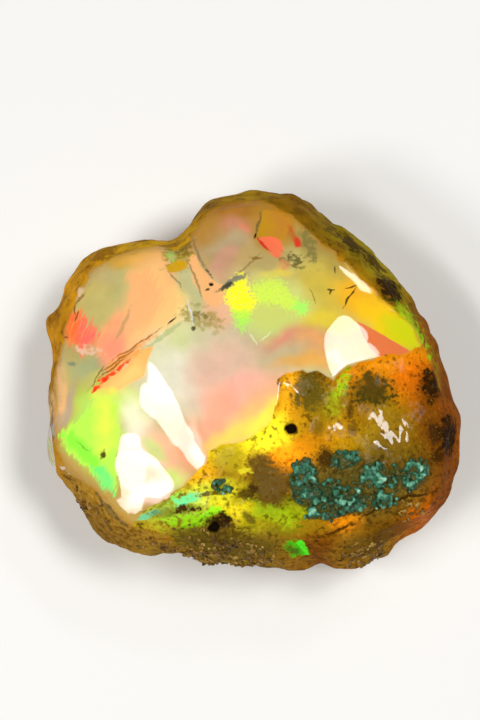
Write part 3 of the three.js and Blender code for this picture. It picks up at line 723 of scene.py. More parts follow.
# Cracks and stains, in the same units: colour, x, y, half length, half width, turn, edge, strength.
FACE_CRACKS = [
    ("#e8c8a0", -15.9, 6.6, 0.5, 0.45, 0, "sooty", 0.9),
    ("#8a4c14", -16.2, 5.2, 0.7, 0.09, 95, "crack", 0.9),
    ("#8a4c14", -16.0, 4.4, 0.5, 0.08, 70, "crack", 0.9),
    ("#8a5a1c", -15.7, 6.0, 0.7, 0.08, 45, "crack", 0.8),
    ("#e0b898", -14.9, 1.3, 1.0, 0.35, -10, "sprinkled", 0.9),
    ("#8c1c14", -17.1, 2.6, 0.35, 0.1, -30, "crack", 0.8),
    ("#5c7070", -16.4, 0.2, 0.5, 0.18, 0, "sooty", 0.6),
    ("#a09060", -11.9, 3.6, 1.8, 0.16, 64, "crack", 0.6),
    ("#f0983c", -11.6, 0.6, 2.4, 0.35, 36, "sooty", 0.75),
    ("#9c6020", -10.6, 1.75, 2.4, 0.09, 34, "crack", 0.85),
    ("#a06824", -12.2, 0.35, 1.9, 0.08, 37, "crack", 0.9),
    ("#805018", -12.8, -0.4, 1.5, 0.07, 40, "crack", 0.8),
    ("#f04a1c", -12.7, -0.8, 1.5, 0.16, 38, "sprinkled", 1.0),
    ("#f02c10", -14.1, -2.0, 0.45, 0.28, 45, "sooty", 1.0),
    ("#f02c10", -13.4, -1.4, 0.4, 0.12, 45, "crack", 0.9),
    ("#c0b468", -14.5, -1.4, 1.4, 0.22, 54, "torn", 0.9),
    ("#6c5c20", -14.1, -1.1, 1.2, 0.07, 54, "crack", 0.8),
    ("#9ab070", -8.4, 2.4, 2.6, 0.2, 35, "sooty", 0.6),
    ("#30260c", -7.3, 3.9, 0.45, 0.08, 45, "crack", 1.0),
    ("#9c8c44", -4.6, 4.3, 1.6, 0.9, -25, "sprinkled", 0.75),
    ("#7c6c34", -4.9, 4.6, 0.9, 0.35, -25, "sprinkled", 0.8),
    ("#4c4020", -5.3, 3.2, 0.25, 0.2, 0, "sooty", 0.9),
    ("#a08a30", -7.0, 10.3, 1.1, 1.3, 0, "sprinkled", 1.0),
    ("#6c5414", -6.6, 10.9, 1.0, 0.7, 20, "sprinkled", 0.7),
    ("#a4c060", -7.5, 10.1, 0.35, 0.5, 0, "sprinkled", 0.8),
    ("#c8980c", -6.9, 9.1, 1.0, 0.42, 18, "torn", 0.95),
    ("#d4dce0", -5.6, 4.9, 1.2, 0.07, 102, "crack", 0.8),
    ("#807c50", -7.0, 7.9, 1.0, 0.09, -50, "crack", 0.7),
    ("#807448", -5.3, 8.0, 1.9, 0.1, 112, "crack", 0.7),
    ("#7c7c64", -1.7, 7.6, 1.3, 0.32, 33, "sooty", 0.95),
    ("#43402c", -2.3, 7.1, 0.8, 0.2, 18, "sooty", 0.95),
    ("#8a7444", -0.4, 9.2, 1.4, 0.12, 45, "crack", 0.7),
    ("#8a6020", 0.3, 9.9, 0.5, 0.14, -10, "sooty", 0.9),
    ("#74684c", -5.0, 10.3, 1.6, 0.12, 112, "crack", 0.65),
    ("#8a7c60", -4.4, 9.2, 1.4, 0.1, 115, "crack", 0.5),
    ("#6c5a30", 0.5, 13.0, 1.2, 0.12, 78, "crack", 0.8),
    ("#1c1404", 0.2, 11.9, 0.2, 0.12, 60, "crack", 1.0),
    ("#c8281c", 0.9, 11.2, 0.9, 0.13, -42, "crack", 0.9),
    ("#d03020", 4.2, 11.2, 0.3, 0.4, 0, "sooty", 0.8),
    ("#787038", 5.3, 11.2, 1.9, 0.55, 102, "sprinkled", 0.8),
    ("#4c4018", 3.6, 9.5, 1.1, 0.6, -20, "sprinkled", 0.8),
    ("#d89858", 2.9, 9.2, 0.6, 0.5, 0, "sooty", 0.7),
    ("#1e1608", -3.8, 7.4, 0.18, 0.14, 0, "crack", 1.0),
    ("#2a1e0c", -4.1, 6.9, 0.25, 0.12, 40, "crack", 0.9),
    ("#4a3820", -4.0, 8.3, 0.5, 0.08, 120, "sprinkled", 0.9),
    ("#d8e8b0", 0.2, 2.5, 0.7, 0.07, 115, "crack", 0.6),
    ("#d8e8b0", 1.3, 2.6, 0.8, 0.07, 42, "crack", 0.6),
    ("#52461c", 7.6, 8.8, 0.35, 0.09, 95, "crack", 0.9),
    ("#463a12", 7.1, 6.9, 0.35, 0.1, 0, "crack", 0.9),
    ("#463a12", 7.1, 6.7, 0.3, 0.09, 70, "crack", 0.9),
    ("#3e330e", 8.9, 6.1, 1.0, 0.08, 58, "crack", 0.95),
    ("#3e330e", 9.1, 7.1, 0.5, 0.08, 20, "crack", 0.9),
    ("#8c7a28", 5.5, 6.3, 0.8, 0.06, 110, "crack", 0.7),
    ("#4c2c08", -13.6, -8.3, 0.25, 0.4, -20, "sooty", 0.95),
    ("#6c9030", -15.4, -7.6, 0.9, 0.10, -40, "crack", 0.5),
]
STAINS = [
    ("#6a3c04", 12.0, -0.9, 4.4, 2.0, 14, "sprinkled", 0.4),
    ("#4c3004", 6.8, -5.2, 3.6, 2.8, 0, "sprinkled", 0.35),
    ("#5a3a06", 14.4, -6.6, 3.4, 3.0, 0, "sprinkled", 0.5),
    ("#a9cc14", 8.2, -1.8, 1.2, 0.5, 65, "sprinkled", 0.9),
    ("#a8b81c", 7.4, -3.6, 0.7, 1.2, 0, "sprinkled", 0.5),
    ("#5e4e10", 5.2, -2.4, 1.5, 1.8, -20, "sooty", 0.95),
    ("#40380c", 10.9, -2.3, 2.0, 1.5, -20, "sooty", 0.95),
    ("#1e1202", 16.3, -1.8, 0.95, 1.5, 4, "sooty", 0.97),
    ("#1c1002", 17.9, -6.6, 0.9, 1.8, 4, "sooty", 0.97),
    ("#3a2208", 16.6, -6.2, 0.6, 1.0, 0, "sooty", 0.85),
    ("#2a1802", 16.9, -8.4, 0.5, 0.6, 0, "sooty", 0.8),
    ("#4a3408", 8.9, -4.2, 0.3, 0.8, 0, "sooty", 0.8),
    ("#6a4e10", 6.0, -5.8, 0.5, 0.6, 0, "sooty", 0.6),
    ("#5a4410", 9.2, -5.9, 0.5, 0.5, 0, "sooty", 0.7),
    ("#6a5410", -2.2, -9.2, 1.4, 1.2, 0, "sprinkled", 0.6),
    ("#b4a014", -2.2, -8.2, 1.2, 0.8, 20, "sprinkled", 0.6),
    ("#6c5018", 0.7, -9.3, 1.1, 1.0, 0, "sooty", 0.95),
    ("#584010", 1.4, -11.4, 1.75, 2.2, 8, "sooty", 0.97),
    ("#7c6430", 1.6, -10.8, 1.2, 1.4, 8, "sprinkled", 0.35),
    ("#3e2808", -0.6, -11.9, 1.2, 0.6, 28, "sooty", 0.95),
    ("#e8d828", -0.5, -9.9, 0.5, 0.3, 0, "sprinkled", 0.8),
    ("#3e2606", 6.6, -8.5, 0.65, 1.0, 0, "sooty", 0.95),
    ("#8cf060", -6.4, -12.4, 1.2, 0.5, 14, "sprinkled", 0.8),
    ("#70e8a0", -5.9, -12.3, 1.2, 0.45, 25, "sprinkled", 0.9),
    ("#68d8a0", -9.2, -13.7, 1.1, 0.25, 20, "sprinkled", 0.9),
    ("#a0f020", -3.6, -13.4, 1.2, 0.4, 24, "torn", 0.9),
    ("#e8d41c", -2.6, -12.3, 2.2, 0.6, -16, "sprinkled", 0.5),
    ("#8cd814", -5.4, -14.2, 2.6, 0.7, 4, "sprinkled", 0.8),
    ("#3a2406", -5.8, -13.2, 1.1, 0.35, 8, "sprinkled", 1.0),
    ("#4a3408", -7.8, -13.5, 1.4, 0.4, 10, "sprinkled", 0.6),
    ("#2a1806", -3.0, -14.4, 1.2, 0.8, -10, "sooty", 1.0),
    ("#4a3208", -4.0, -11.8, 0.9, 0.2, 10, "sprinkled", 0.9),
    ("#5a4a10", -0.2, -14.0, 0.9, 0.4, -42, "sooty", 0.85),
    ("#6a3410", 3.2, -14.6, 2.0, 1.0, -8, "sprinkled", 0.45),
    ("#b8e018", 2.0, -13.6, 2.2, 0.6, -20, "sprinkled", 0.45),
    ("#9c700c", 5.6, -14.6, 1.4, 0.7, 0, "sprinkled", 0.9),
    ("#4a3a10", -1.8, -16.6, 4.0, 1.2, -3, "sprinkled", 0.6),
    ("#4c3a0c", -4.2, -15.6, 3.2, 0.8, 0, "sprinkled", 0.8),
    ("#38c814", 4.0, -16.8, 0.9, 0.7, -35, "sprinkled", 0.9),
    ("#50f428", 4.8, -16.8, 0.7, 0.35, -60, "torn", 0.9),
    ("#4c6010", 3.7, -16.9, 0.6, 0.35, -30, "sooty", 0.8),
    ("#4c3810", 10.0, -16.8, 1.8, 1.0, 10, "sprinkled", 0.6),
    ("#e88e08", 8.4, -14.2, 1.4, 0.4, 12, "sooty", 0.8),
    ("#3a2204", 14.6, -12.1, 1.6, 0.16, 10, "crack", 0.9),
    ("#3a2204", 11.4, -13.2, 1.7, 0.14, 26, "crack", 0.9),
    ("#4a2c04", 7.8, -15.1, 1.7, 0.13, 18, "crack", 0.9),
    ("#4a3008", 12.4, -15.6, 2.2, 0.9, 30, "sprinkled", 0.7),
]
RIND_STAINS = [
    ("#98c814", 14.5, 3.0, 3.0, 0.9, -62, "sprinkled", 1.0),
    ("#b8cc18", 14.2, 4.3, 2.0, 0.25, -58, "torn", 0.8),
    ("#5c5434", -12.6, -13.4, 2.1, 0.4, -48, "torn", 0.85),
    # the next two pale rows are painted glints, for the wet beads that glisten along the low left rim
    ("#ecdcc8", -15.9, -10.0, 1.9, 0.35, -21, "sprinkled", 1.0),
    ("#ecdcc8", -13.5, -11.8, 1.8, 0.28, -52, "sprinkled", 1.0),
    ("#e0b820", -12.2, -12.6, 2.4, 0.13, -46, "sprinkled", 0.8),
    ("#8c5a0a", -13.6, 10.4, 1.4, 0.6, 30, "sooty", 0.8),
    ("#2c1c04", 9.3, 11.2, 1.3, 0.6, -44, "sooty", 0.9),
    ("#543a06", 7.6, 12.4, 1.0, 0.4, -38, "sprinkled", 0.8),
    ("#3a2604", 11.2, 9.7, 1.3, 0.5, -40, "sooty", 0.9),
    ("#201404", 12.6, 7.0, 1.5, 0.8, -58, "sooty", 0.98),
    ("#c08c14", -18.1, -8.0, 1.1, 0.6, -57, "sprinkled", 0.8),
    ("#c4ccc8", -17.7, -5.7, 0.5, 0.8, -50, "sprinkled", 0.5),
]
STAIN_EDGES = {  # softness of the edge as a share of the size, how torn it is, by which noise, mottling
    "torn": (0.16, 1.0, "torn", 0.0),
    "crack": (0.4, 0.5, "grainy", 0.0),
    "sooty": (0.4, 1.0, "speckled", 0.15),
    "sprinkled": (0.4, 1.2, "speckled", 1.0),
}


def add(tree, kind, inputs=None, **settings):
    """Adds a node with its settings. An input is given a plain value, a socket to link from, or a
    node, whose first output is linked."""
    made = tree.nodes.new(kind)
    for name, value in settings.items():
        setattr(made, name, value)
    for name, value in (inputs or {}).items():
        if isinstance(value, bpy.types.Node):
            value = value.outputs[0]
        if isinstance(value, bpy.types.NodeSocket):
            tree.links.new(value, made.inputs[name])
        else:
            made.inputs[name].default_value = value
    return made


def new_finish(name):
    """A material with no nodes yet, and its node tree."""
    finish = bpy.data.materials.new(name)
    finish.use_nodes = True
    finish.node_tree.nodes.clear()
    return finish, finish.node_tree


# A node group that lays an oval patch of colour over another colour.
patch = bpy.data.node_groups.new("patch_of_colour", "ShaderNodeTree")
for socket, kind in (
    ("Under", "Color"), ("Colour", "Color"), ("Place", "Vector"), ("Centre", "Vector"), ("Along", "Vector"),
    ("Across", "Vector"), ("Tear", "Float"), ("Edge", "Float"), ("Strength", "Float"), ("Mottle", "Float"),
):
    patch.interface.new_socket(socket, in_out="INPUT", socket_type="NodeSocket" + kind)
patch.interface.new_socket("Colour", in_out="OUTPUT", socket_type="NodeSocketColor")
given = add(patch, "NodeGroupInput").outputs
away = add(patch, "ShaderNodeVectorMath", {0: given["Place"], 1: given["Centre"]}, operation="SUBTRACT")
sides = [
    add(patch, "ShaderNodeVectorMath", {0: away, 1: given[way]}, operation="DOT_PRODUCT").outputs["Value"]
    for way in ("Along", "Across")
]
flat = add(patch, "ShaderNodeCombineXYZ", {0: sides[0], 1: sides[1]})
out_by = add(patch, "ShaderNodeVectorMath", {0: flat}, operation="LENGTH").outputs["Value"]
out_by = add(patch, "ShaderNodeMath", {0: out_by, 1: given["Tear"]}, operation="ADD")
outer = add(patch, "ShaderNodeMath", {0: 1.0, 1: given["Edge"]}, operation="ADD")
inner = add(patch, "ShaderNodeMath", {0: 1.0, 1: given["Edge"]}, operation="SUBTRACT")
cover = add(patch, "ShaderNodeMapRange", {
    "Value": out_by, "From Min": outer, "From Max": inner, "To Max": given["Strength"],
}, interpolation_type="SMOOTHSTEP")
cover = add(patch, "ShaderNodeMath", {0: cover, 1: given["Mottle"]}, operation="MULTIPLY")
laid = add(patch, "ShaderNodeMix", {0: cover, 6: given["Under"], 7: given["Colour"]}, data_type="RGBA")
add(patch, "NodeGroupOutput", {0: laid.outputs[2]})

opal_finish, tree = new_finish("wet_precious_opal")
position = add(tree, "ShaderNodeTexCoord").outputs["Object"]
millimetres = add(tree, "ShaderNodeVectorMath", {0: position, "Scale": 1 / MILLIMETRE}, operation="SCALE")

# Noise fields: size of the clumps in millimetres, octaves, stretch along one way, and turn. Each is also
# spread to run from about -0.5 to 0.5, for tearing edges, and cut down to a share, for mottling.
NOISES = {
    "drifting": (5.0, 2, 1.0, 0),
    "wavering": (1.1, 2, 1.0, 0),
    "torn": (1.6, 5, 1.0, 0),
    "streaked": (0.34, 2, 14.0, 62),
    "grainy": (0.26, 2, 1.0, 0),
    "speckled": (0.5, 4, 1.0, 0),
}
noises, spread_noises, mottling_by = {}, {}, {}
for name, (size, octaves, stretch, turn) in NOISES.items():
    where = add(tree, "ShaderNodeMapping", {
        "Vector": millimetres, "Rotation": (0, 0, math.radians(turn)), "Scale": (stretch, 1, 1),
    }, vector_type="TEXTURE")
    noises[name] = add(tree, "ShaderNodeTexNoise", {"Vector": where, "Scale": 1 / size, "Detail": octaves})
    spread_noises[name] = add(tree, "ShaderNodeMapRange", {
        "Value": noises[name], "From Min": 0.3, "From Max": 0.7, "To Min": -0.5, "To Max": 0.5,
    }, clamp=False)
for _, _, field, amount in (*FLASH_EDGES.values(), *STAIN_EDGES.values()):
    mottling_by[field, amount] = add(tree, "ShaderNodeMapRange", {
        "Value": noises[field], "From Min": 0.48, "From Max": 0.68, "To Min": 1.0, "To Max": 1 - amount,
    }) if amount else 1.0

# Places that wander, so that no stain is a plain oval and no crack is straight.
wandering = add(tree, "ShaderNodeAttribute", attribute_name="seen_place").outputs["Vector"]
for name, sway in (("drifting", 0.7), ("wavering", 0.5)):  # how far, in millimetres
    shift = noises[name].outputs["Color"]
    shift = add(tree, "ShaderNodeVectorMath", {0: shift, 1: (0.5, 0.5, 0.5)}, operation="SUBTRACT")
    shift = add(tree, "ShaderNodeVectorMath", {0: shift, "Scale": sway}, operation="SCALE")
    wandering = add(tree, "ShaderNodeVectorMath", {0: wandering, 1: shift})
tears = {
    name: add(tree, "ShaderNodeMath", {0: spread_noises[field], 1: amount}, operation="MULTIPLY")
    for name, (_, amount, field, _) in STAIN_EDGES.items()
}

# The skin's fine knobs, this many millimetres apart and moved out of line by up to so many, and the
# plates of colour in the scars.
KNOBS_APART, KNOBS_MOVED, PLATES_APART = 0.36, 0.35, 3.2
crooked = noises["grainy"].outputs["Color"]
crooked = add(tree, "ShaderNodeVectorMath", {0: crooked, "Scale": KNOBS_MOVED}, operation="SCALE")
crooked = add(tree, "ShaderNodeVectorMath", {0: millimetres, 1: crooked})
grains = add(tree, "ShaderNodeTexVoronoi", {"Vector": crooked, "Scale": 1 / KNOBS_APART})
plates = add(tree, "ShaderNodeTexVoronoi", {"Vector": wandering, "Scale": 1 / PLATES_APART})
plates = add(tree, "ShaderNodeSeparateXYZ", {0: plates.outputs["Color"]}).outputs

# How far inside each kind of surface a point lies, and the same with a torn edge.
depths = {
    name: add(tree, "ShaderNodeAttribute", attribute_name=name).outputs["Fac"]
    for name in (
        "rim_depth", "skin_depth", "scar_depth", "crust_cover", "pit_depth", "wet", "grit", "flank",
    )
}
torn_depths = {
    name: add(tree, "ShaderNodeMath", {
        0: spread_noises["torn"], 1: amount, 2: depths[name],
    }, operation="MULTIPLY_ADD")
    for name, amount in (
        ("rim_depth", 0.6), ("skin_depth", 0.5), ("scar_depth", 0.3), ("crust_cover", 0.4),
        ("pit_depth", 0.5), ("wet", 0.8),
    )
}

# Shares that rise smoothly to their top as a value goes from one limit to the other.
shares = {}
for name, value, low, high, top in (
    ("skin", torn_depths["skin_depth"], -0.3, -0.12, 1.0),
    ("rind", torn_depths["rim_depth"], 0.1, -0.2, 1.0),
    ("scar", torn_depths["scar_depth"], -0.02, 0.12, 1.0),
    ("crust", torn_depths["crust_cover"], 0.22, 0.5, 0.9),
    ("pit", torn_depths["pit_depth"], -0.1, 0.15, 1.0),
    ("wet", torn_depths["wet"], 0.3, 0.6, 1.0),
    # painted glow of light through the thin edge, on the face towards its rim
    ("glow", torn_depths["rim_depth"], 0.45, 0.0, 0.5),
    # painted shade, deepest on the outer flanks and underneath
    ("shade", depths["flank"], 0.4, 1.0, 0.22),
    ("gritty", depths["grit"], 0.0, 1.0, 0.35),
    ("between", noises["speckled"], 0.42, 0.6, 1.0),
    ("specks", noises["speckled"], 0.55, 0.62, 0.55),
    ("drifts", noises["torn"], 0.38, 0.6, 1.0),
    ("pale", noises["grainy"], 0.6, 0.75, 0.2),
    ("rust", noises["torn"], 0.5, 0.68, 0.3),
    ("mossy", noises["torn"], 0.4, 0.65, 1.0),
    ("cloudy", noises["drifting"], 0.35, 0.65, 1.0),
    ("flashing", plates[1], 0.4, 1.0, 0.55),
):
    shares[name] = add(tree, "ShaderNodeMapRange", {
        "Value": value, "From Min": low, "From Max": high, "To Max": top,
    }, interpolation_type="SMOOTHSTEP")
shares["specks"] = add(tree, "ShaderNodeMath", {
    0: shares["specks"], 1: shares["drifts"],
}, operation="MULTIPLY")

# Each surface's clouds, lightened and darkened in clumps: the noise, and the darkest and lightest.
colours = {}
for name, field, darkest, lightest in (
    ("face_clouds", "torn", 0.95, 1.06), ("skin_clouds", "speckled", 0.7, 1.6),
    ("rind_clouds", "torn", 0.75, 1.25),
):
    shading = add(tree, "ShaderNodeMapRange", {
        "Value": noises[field], "From Min": 0.34, "From Max": 0.66, "To Min": lightest, "To Max": darkest,
    })
    colour = add(tree, "ShaderNodeAttribute", attribute_name=name).outputs["Color"]
    colours[name] = add(tree, "ShaderNodeHueSaturation", {"Color": colour, "Value": shading})

# The bare face: clouds, then flashes, and an amber glow towards the rim, painted light for the light that
# shines through the thin edge.
face_colour = colours["face_clouds"]
for i, (tint, edge, strength, _) in enumerate(FLASHES):
    softness, tear, field, mottling = FLASH_EDGES[edge]
    depth = add(tree, "ShaderNodeAttribute", attribute_name=f"flash_{i}").outputs["Fac"]
    depth = add(tree, "ShaderNodeMath", {
        0: spread_noises[field], 1: tear, 2: depth,
    }, operation="MULTIPLY_ADD")
    share = add(tree, "ShaderNodeMapRange", {
        "Value": depth, "From Min": -softness, "From Max": softness, "To Max": strength,
    }, interpolation_type="SMOOTHSTEP")
    share = add(tree, "ShaderNodeMath", {0: share, 1: mottling_by[field, mottling]}, operation="MULTIPLY")
    face_colour = add(tree, "ShaderNodeMix", {
        0: share, 6: face_colour, 7: linear(tint),
    }, data_type="RGBA").outputs[2]
face_colour = add(tree, "ShaderNodeMix", {
    0: shares["glow"], 6: face_colour, 7: linear("#b4780e"),
}, data_type="RGBA").outputs[2]

# Cracks and stains over the three surfaces.
stained = []
for colour, rows in (
    (face_colour, FACE_CRACKS), (colours["skin_clouds"], STAINS), (colours["rind_clouds"], RIND_STAINS),
):
    for tint, x, y, half_length, half_width, turn, edge, strength in rows:
        softness, _, field, mottling = STAIN_EDGES[edge]
        c, s = math.cos(math.radians(turn)), math.sin(math.radians(turn))
        colour = add(tree, "ShaderNodeGroup", {
            "Under": colour, "Colour": linear(tint), "Place": wandering, "Centre": (x, y, 0),
            "Along": (c / half_length, s / half_length, 0), "Across": (-s / half_width, c / half_width, 0),
            "Tear": tears[edge], "Edge": softness, "Strength": strength,
            "Mottle": mottling_by[field, mottling],
        }, node_tree=patch)
    stained.append(colour)
face_colour, skin_colour, rind_colour = stained

# Broken scars on the hidden sides show the same milky opal, with flashes in it.
flashes = add(tree, "ShaderNodeValToRGB", {0: plates[0]})
ramp = flashes.color_ramp
ramp.interpolation = "CONSTANT"
for stop, tint in ((0.2, "#9ccc54"), (0.4, "#e8a468"), (0.6, "#d8cc4c"), (0.8, "#e08458")):
    ramp.elements.new(stop).color = linear(tint)
ramp.elements[0].color = linear("#b8b080")
ramp.elements[-1].color = linear("#b4b880")

# All laid over one another: what lies under, the share of it that is covered, and what lies over it.
surfaces = {
    "stone": face_colour, "skin": skin_colour, "rind": rind_colour, "flashes": flashes,
    "scar": linear("#a8904e"), "crust": linear("#4e4a18"), "grit": linear("#c49c44"),
}
for under, share, over in (
    ("skin", "pale", "#e8b43c"),
    ("skin", "specks", "#3e2404"),
    ("grit", "between", "#86601c"),
    ("rind", "rust", "#7c3e04"),
    ("rind", "specks", "#4a2a04"),
    ("rind", "gritty", "grit"),
    # painted shade: the rind darkened towards its flanks and underneath
    ("rind", "shade", "#3c2203"),
    ("scar", "cloudy", "#94702e"),
    ("scar", "flashing", "flashes"),
    ("crust", "mossy", "#2a4830"),
    ("stone", "skin", "skin"),
    ("stone", "rind", "rind"),
    ("stone", "scar", "scar"),
    ("stone", "crust", "crust"),
    ("stone", "pit", "#140b03"),
):
    over = surfaces[over] if over in surfaces else linear(over)
    laid = add(tree, "ShaderNodeMix", {0: shares[share], 6: surfaces[under], 7: over}, data_type="RGBA")
    surfaces[under] = laid.outputs[2]
colour = surfaces["stone"]

# Wet and glassy where it is bare. The skin is duller, with water standing in a few places, and the
# rind and the pits are almost dry. A faint painted glow of the same colours, emitted by the surface,
# stands for the light that comes back out of the deeper layers.
bared = add(tree, "ShaderNodeMath", {0: 1.0, 1: shares["scar"]}, operation="SUBTRACT")
dry = add(tree, "ShaderNodeMath", {0: shares["rind"], 1: shares["pit"]}, operation="MAXIMUM")
dry = add(tree, "ShaderNodeMath", {0: dry, 1: depths["flank"]}, operation="MAXIMUM")
dry = add(tree, "ShaderNodeMath", {0: dry, 1: bared}, operation="MULTIPLY")
covered = add(tree, "ShaderNodeMath", {0: shares["skin"], 1: bared}, operation="MULTIPLY")
covered = add(tree, "ShaderNodeMath", {0: covered, 1: dry}, operation="MAXIMUM")
roughness = add(tree, "ShaderNodeMapRange", {"Value": covered, "To Min": 0.08, "To Max": 0.45})
roughness = add(tree, "ShaderNodeMath", {0: dry, 1: 0.25, 2: roughness}, operation="MULTIPLY_ADD")
knobs = add(tree, "ShaderNodeMath", {0: noises["speckled"], 1: grains}, operation="SUBTRACT")
knobs = add(tree, "ShaderNodeMath", {0: knobs, 1: covered}, operation="MULTIPLY")
water = add(tree, "ShaderNodeMapRange", {"Value": shares["wet"], "To Min": 0.06, "To Max": 1.0})
film = add(tree, "ShaderNodeMapRange", {"Value": covered, "To Min": 1.0, "To Max": water})
dried = add(tree, "ShaderNodeMapRange", {"Value": dry, "To Min": 1.0, "To Max": 0.1})
film = add(tree, "ShaderNodeMath", {0: film, 1: dried}, operation="MULTIPLY")
bump = add(tree, "ShaderNodeBump", {"Height": knobs, "Distance": 0.0001, "Strength": 1.0})
shader = add(tree, "ShaderNodeBsdfPrincipled", {
    "Base Color": colour, "Roughness": roughness, "Normal": bump, "IOR": 1.45, "Coat Weight": film,
    "Coat Roughness": 0.03, "Coat IOR": 1.5, "Subsurface Weight": 0.15,
    "Subsurface Radius": (1.0, 0.6, 0.35), "Subsurface Scale": 0.0008, "Specular IOR Level": 0.02,
    "Emission Color": colour, "Emission Strength": 0.12,
})
add(tree, "ShaderNodeOutputMaterial", {"Surface": shader})
stone.data.materials.append(opal_finish)

# ---- The green crust ----
# A crust of green clay mineral that grew on the skin in the rock's hollow: rounded grains less than half
# a millimetre across, heaped over its lumps and grown together, painted dark between them as shade and pale
# on their tips as a highlight.
grain_tree = bpy.data.node_groups.new("grains_on_a_bed", "GeometryNodeTree")
for name, kind in (
    ("Bed", "Geometry"), ("Grain width", "Float"), ("Gap", "Float"), ("Heap", "Float"),
    ("Detail", "Float"), ("Seed", "Int"), ("Finish", "Material"),
):
    grain_tree.interface.new_socket(name, in_out="INPUT", socket_type="NodeSocket" + kind)
grain_tree.interface.new_socket("Grains", in_out="OUTPUT", socket_type="NodeSocketGeometry")
given = add(grain_tree, "NodeGroupInput").outputs
crowding = add(grain_tree, "GeometryNodeInputNamedAttribute", {"Name": "crowding"}, data_type="FLOAT")
spots = add(grain_tree, "GeometryNodeDistributePointsOnFaces", {
    "Mesh": given["Bed"], "Distance Min": given["Gap"], "Density Max": 6e7, "Density Factor": crowding,
    "Seed": given["Seed"],
}, distribute_method="POISSON")
lift = add(grain_tree, "FunctionNodeRandomValue", {
    "Max": given["Heap"], "Seed": given["Seed"],
}, data_type="FLOAT").outputs[1]
lift = add(grain_tree, "ShaderNodeVectorMath", {
    0: spots.outputs["Normal"], "Scale": lift,
}, operation="SCALE")
heaped = add(grain_tree, "GeometryNodeSetPosition", {0: spots, "Offset": lift})
ball = add(grain_tree, "GeometryNodeMeshUVSphere", {"Segments": 8, "Rings": 5, "Radius": 0.5})
shape = add(grain_tree, "FunctionNodeRandomValue", {
    "Min": (0.5, 0.5, 0.5), "Max": (1.6, 1.6, 1.3), "Seed": given["Seed"],
}, data_type="FLOAT_VECTOR")
shape = add(grain_tree, "ShaderNodeVectorMath", {
    0: shape, "Scale": given["Grain width"],
}, operation="SCALE")
grains = add(grain_tree, "GeometryNodeInstanceOnPoints", {
    "Points": heaped, "Instance": ball, "Scale": shape,
})
grains = add(grain_tree, "GeometryNodeRealizeInstances", {0: grains})
# Grown together: the grains are filled with small cubes and one skin is laid over them all.
filled = add(grain_tree, "GeometryNodeMeshToVolume", {
    "Mesh": grains, "Density": 1.0, "Voxel Size": given["Detail"], "Interior Band Width": 0.0001,
}, resolution_mode="VOXEL_SIZE")
grains = add(grain_tree, "GeometryNodeVolumeToMesh", {
    "Volume": filled, "Threshold": 0.1,
}, resolution_mode="GRID")
# Each point keeps how far out it lies from the bed, which sets the painted shade and highlight, and a noise
# in clumps about a millimetre wide.
where = add(grain_tree, "GeometryNodeInputPosition")
tint = add(grain_tree, "ShaderNodeTexNoise", {"Vector": where, "Scale": 1 / MILLIMETRE, "Detail": 4.0})
tip = add(grain_tree, "GeometryNodeProximity", {
    0: given["Bed"],
}, target_element="FACES").outputs["Distance"]
tip = add(grain_tree, "ShaderNodeMath", {0: tip, 1: given["Grain width"]}, operation="DIVIDE")
for name, value in (("tint", tint), ("tip", tip)):
    grains = add(grain_tree, "GeometryNodeStoreNamedAttribute", {
        "Geometry": grains, "Name": name, "Value": value,
    }, data_type="FLOAT", domain="POINT")
grains = add(grain_tree, "GeometryNodeRealizeInstances", {0: grains})
grains = add(grain_tree, "GeometryNodeSetMaterial", {"Geometry": grains, "Material": given["Finish"]})
add(grain_tree, "NodeGroupOutput", {0: grains})


SPARSEST = 0.02  # the bed ends where the grains would be sparser than this


def scatter_grains(name, crowding, **sizes):
    """A plain mesh of grains on the stone, given how much they crowd at each of its points, 0 to 1."""
    chosen = faces[(crowding[faces] > SPARSEST).any(axis=1)]
    kept, bed_faces = np.unique(chosen.ravel(), return_inverse=True)
    bed = bpy.data.objects.new(name, bpy.data.meshes.new(name + "_bed"))
    bpy.context.scene.collection.objects.link(bed)
    bed.data.from_pydata((place[kept] * MILLIMETRE).tolist(), [], bed_faces.reshape(-1, 4).tolist())
    mark(bed.data, "crowding", crowding[kept])
    scatter = bed.modifiers.new("grains", "NODES")
    scatter.node_group = grain_tree
    for item in grain_tree.interface.items_tree:
        if item.name in sizes:
            scatter[item.identifier] = sizes[item.name]
    depsgraph = bpy.context.evaluated_depsgraph_get()
    finished = bed.evaluated_get(depsgraph)
    mesh = bpy.data.meshes.new_from_object(finished, preserve_all_data_layers=True, depsgraph=depsgraph)
    bed.modifiers.remove(scatter)
    bed.data = mesh
    for vertex in mesh.vertices:
        vertex.co = [min(max(value, low), high) for value, low, high in zip(vertex.co, *cad_box)]
    mesh.shade_smooth()
    return bed


# Wet green clay in olive and green clumps: painted shade makes it darker where it lies low, and a painted
# highlight makes the tips pale mint; the coat glints on them.
crust_finish, tree = new_finish("green_clay_grains")
tint = add(tree, "ShaderNodeAttribute", attribute_name="tint").outputs["Fac"]
tip = add(tree, "ShaderNodeAttribute", attribute_name="tip").outputs["Fac"]
patchy = add(tree, "ShaderNodeMapRange", {
    "Value": tint, "From Min": 0.38, "From Max": 0.66, "To Min": -0.1, "To Max": 0.5,
})
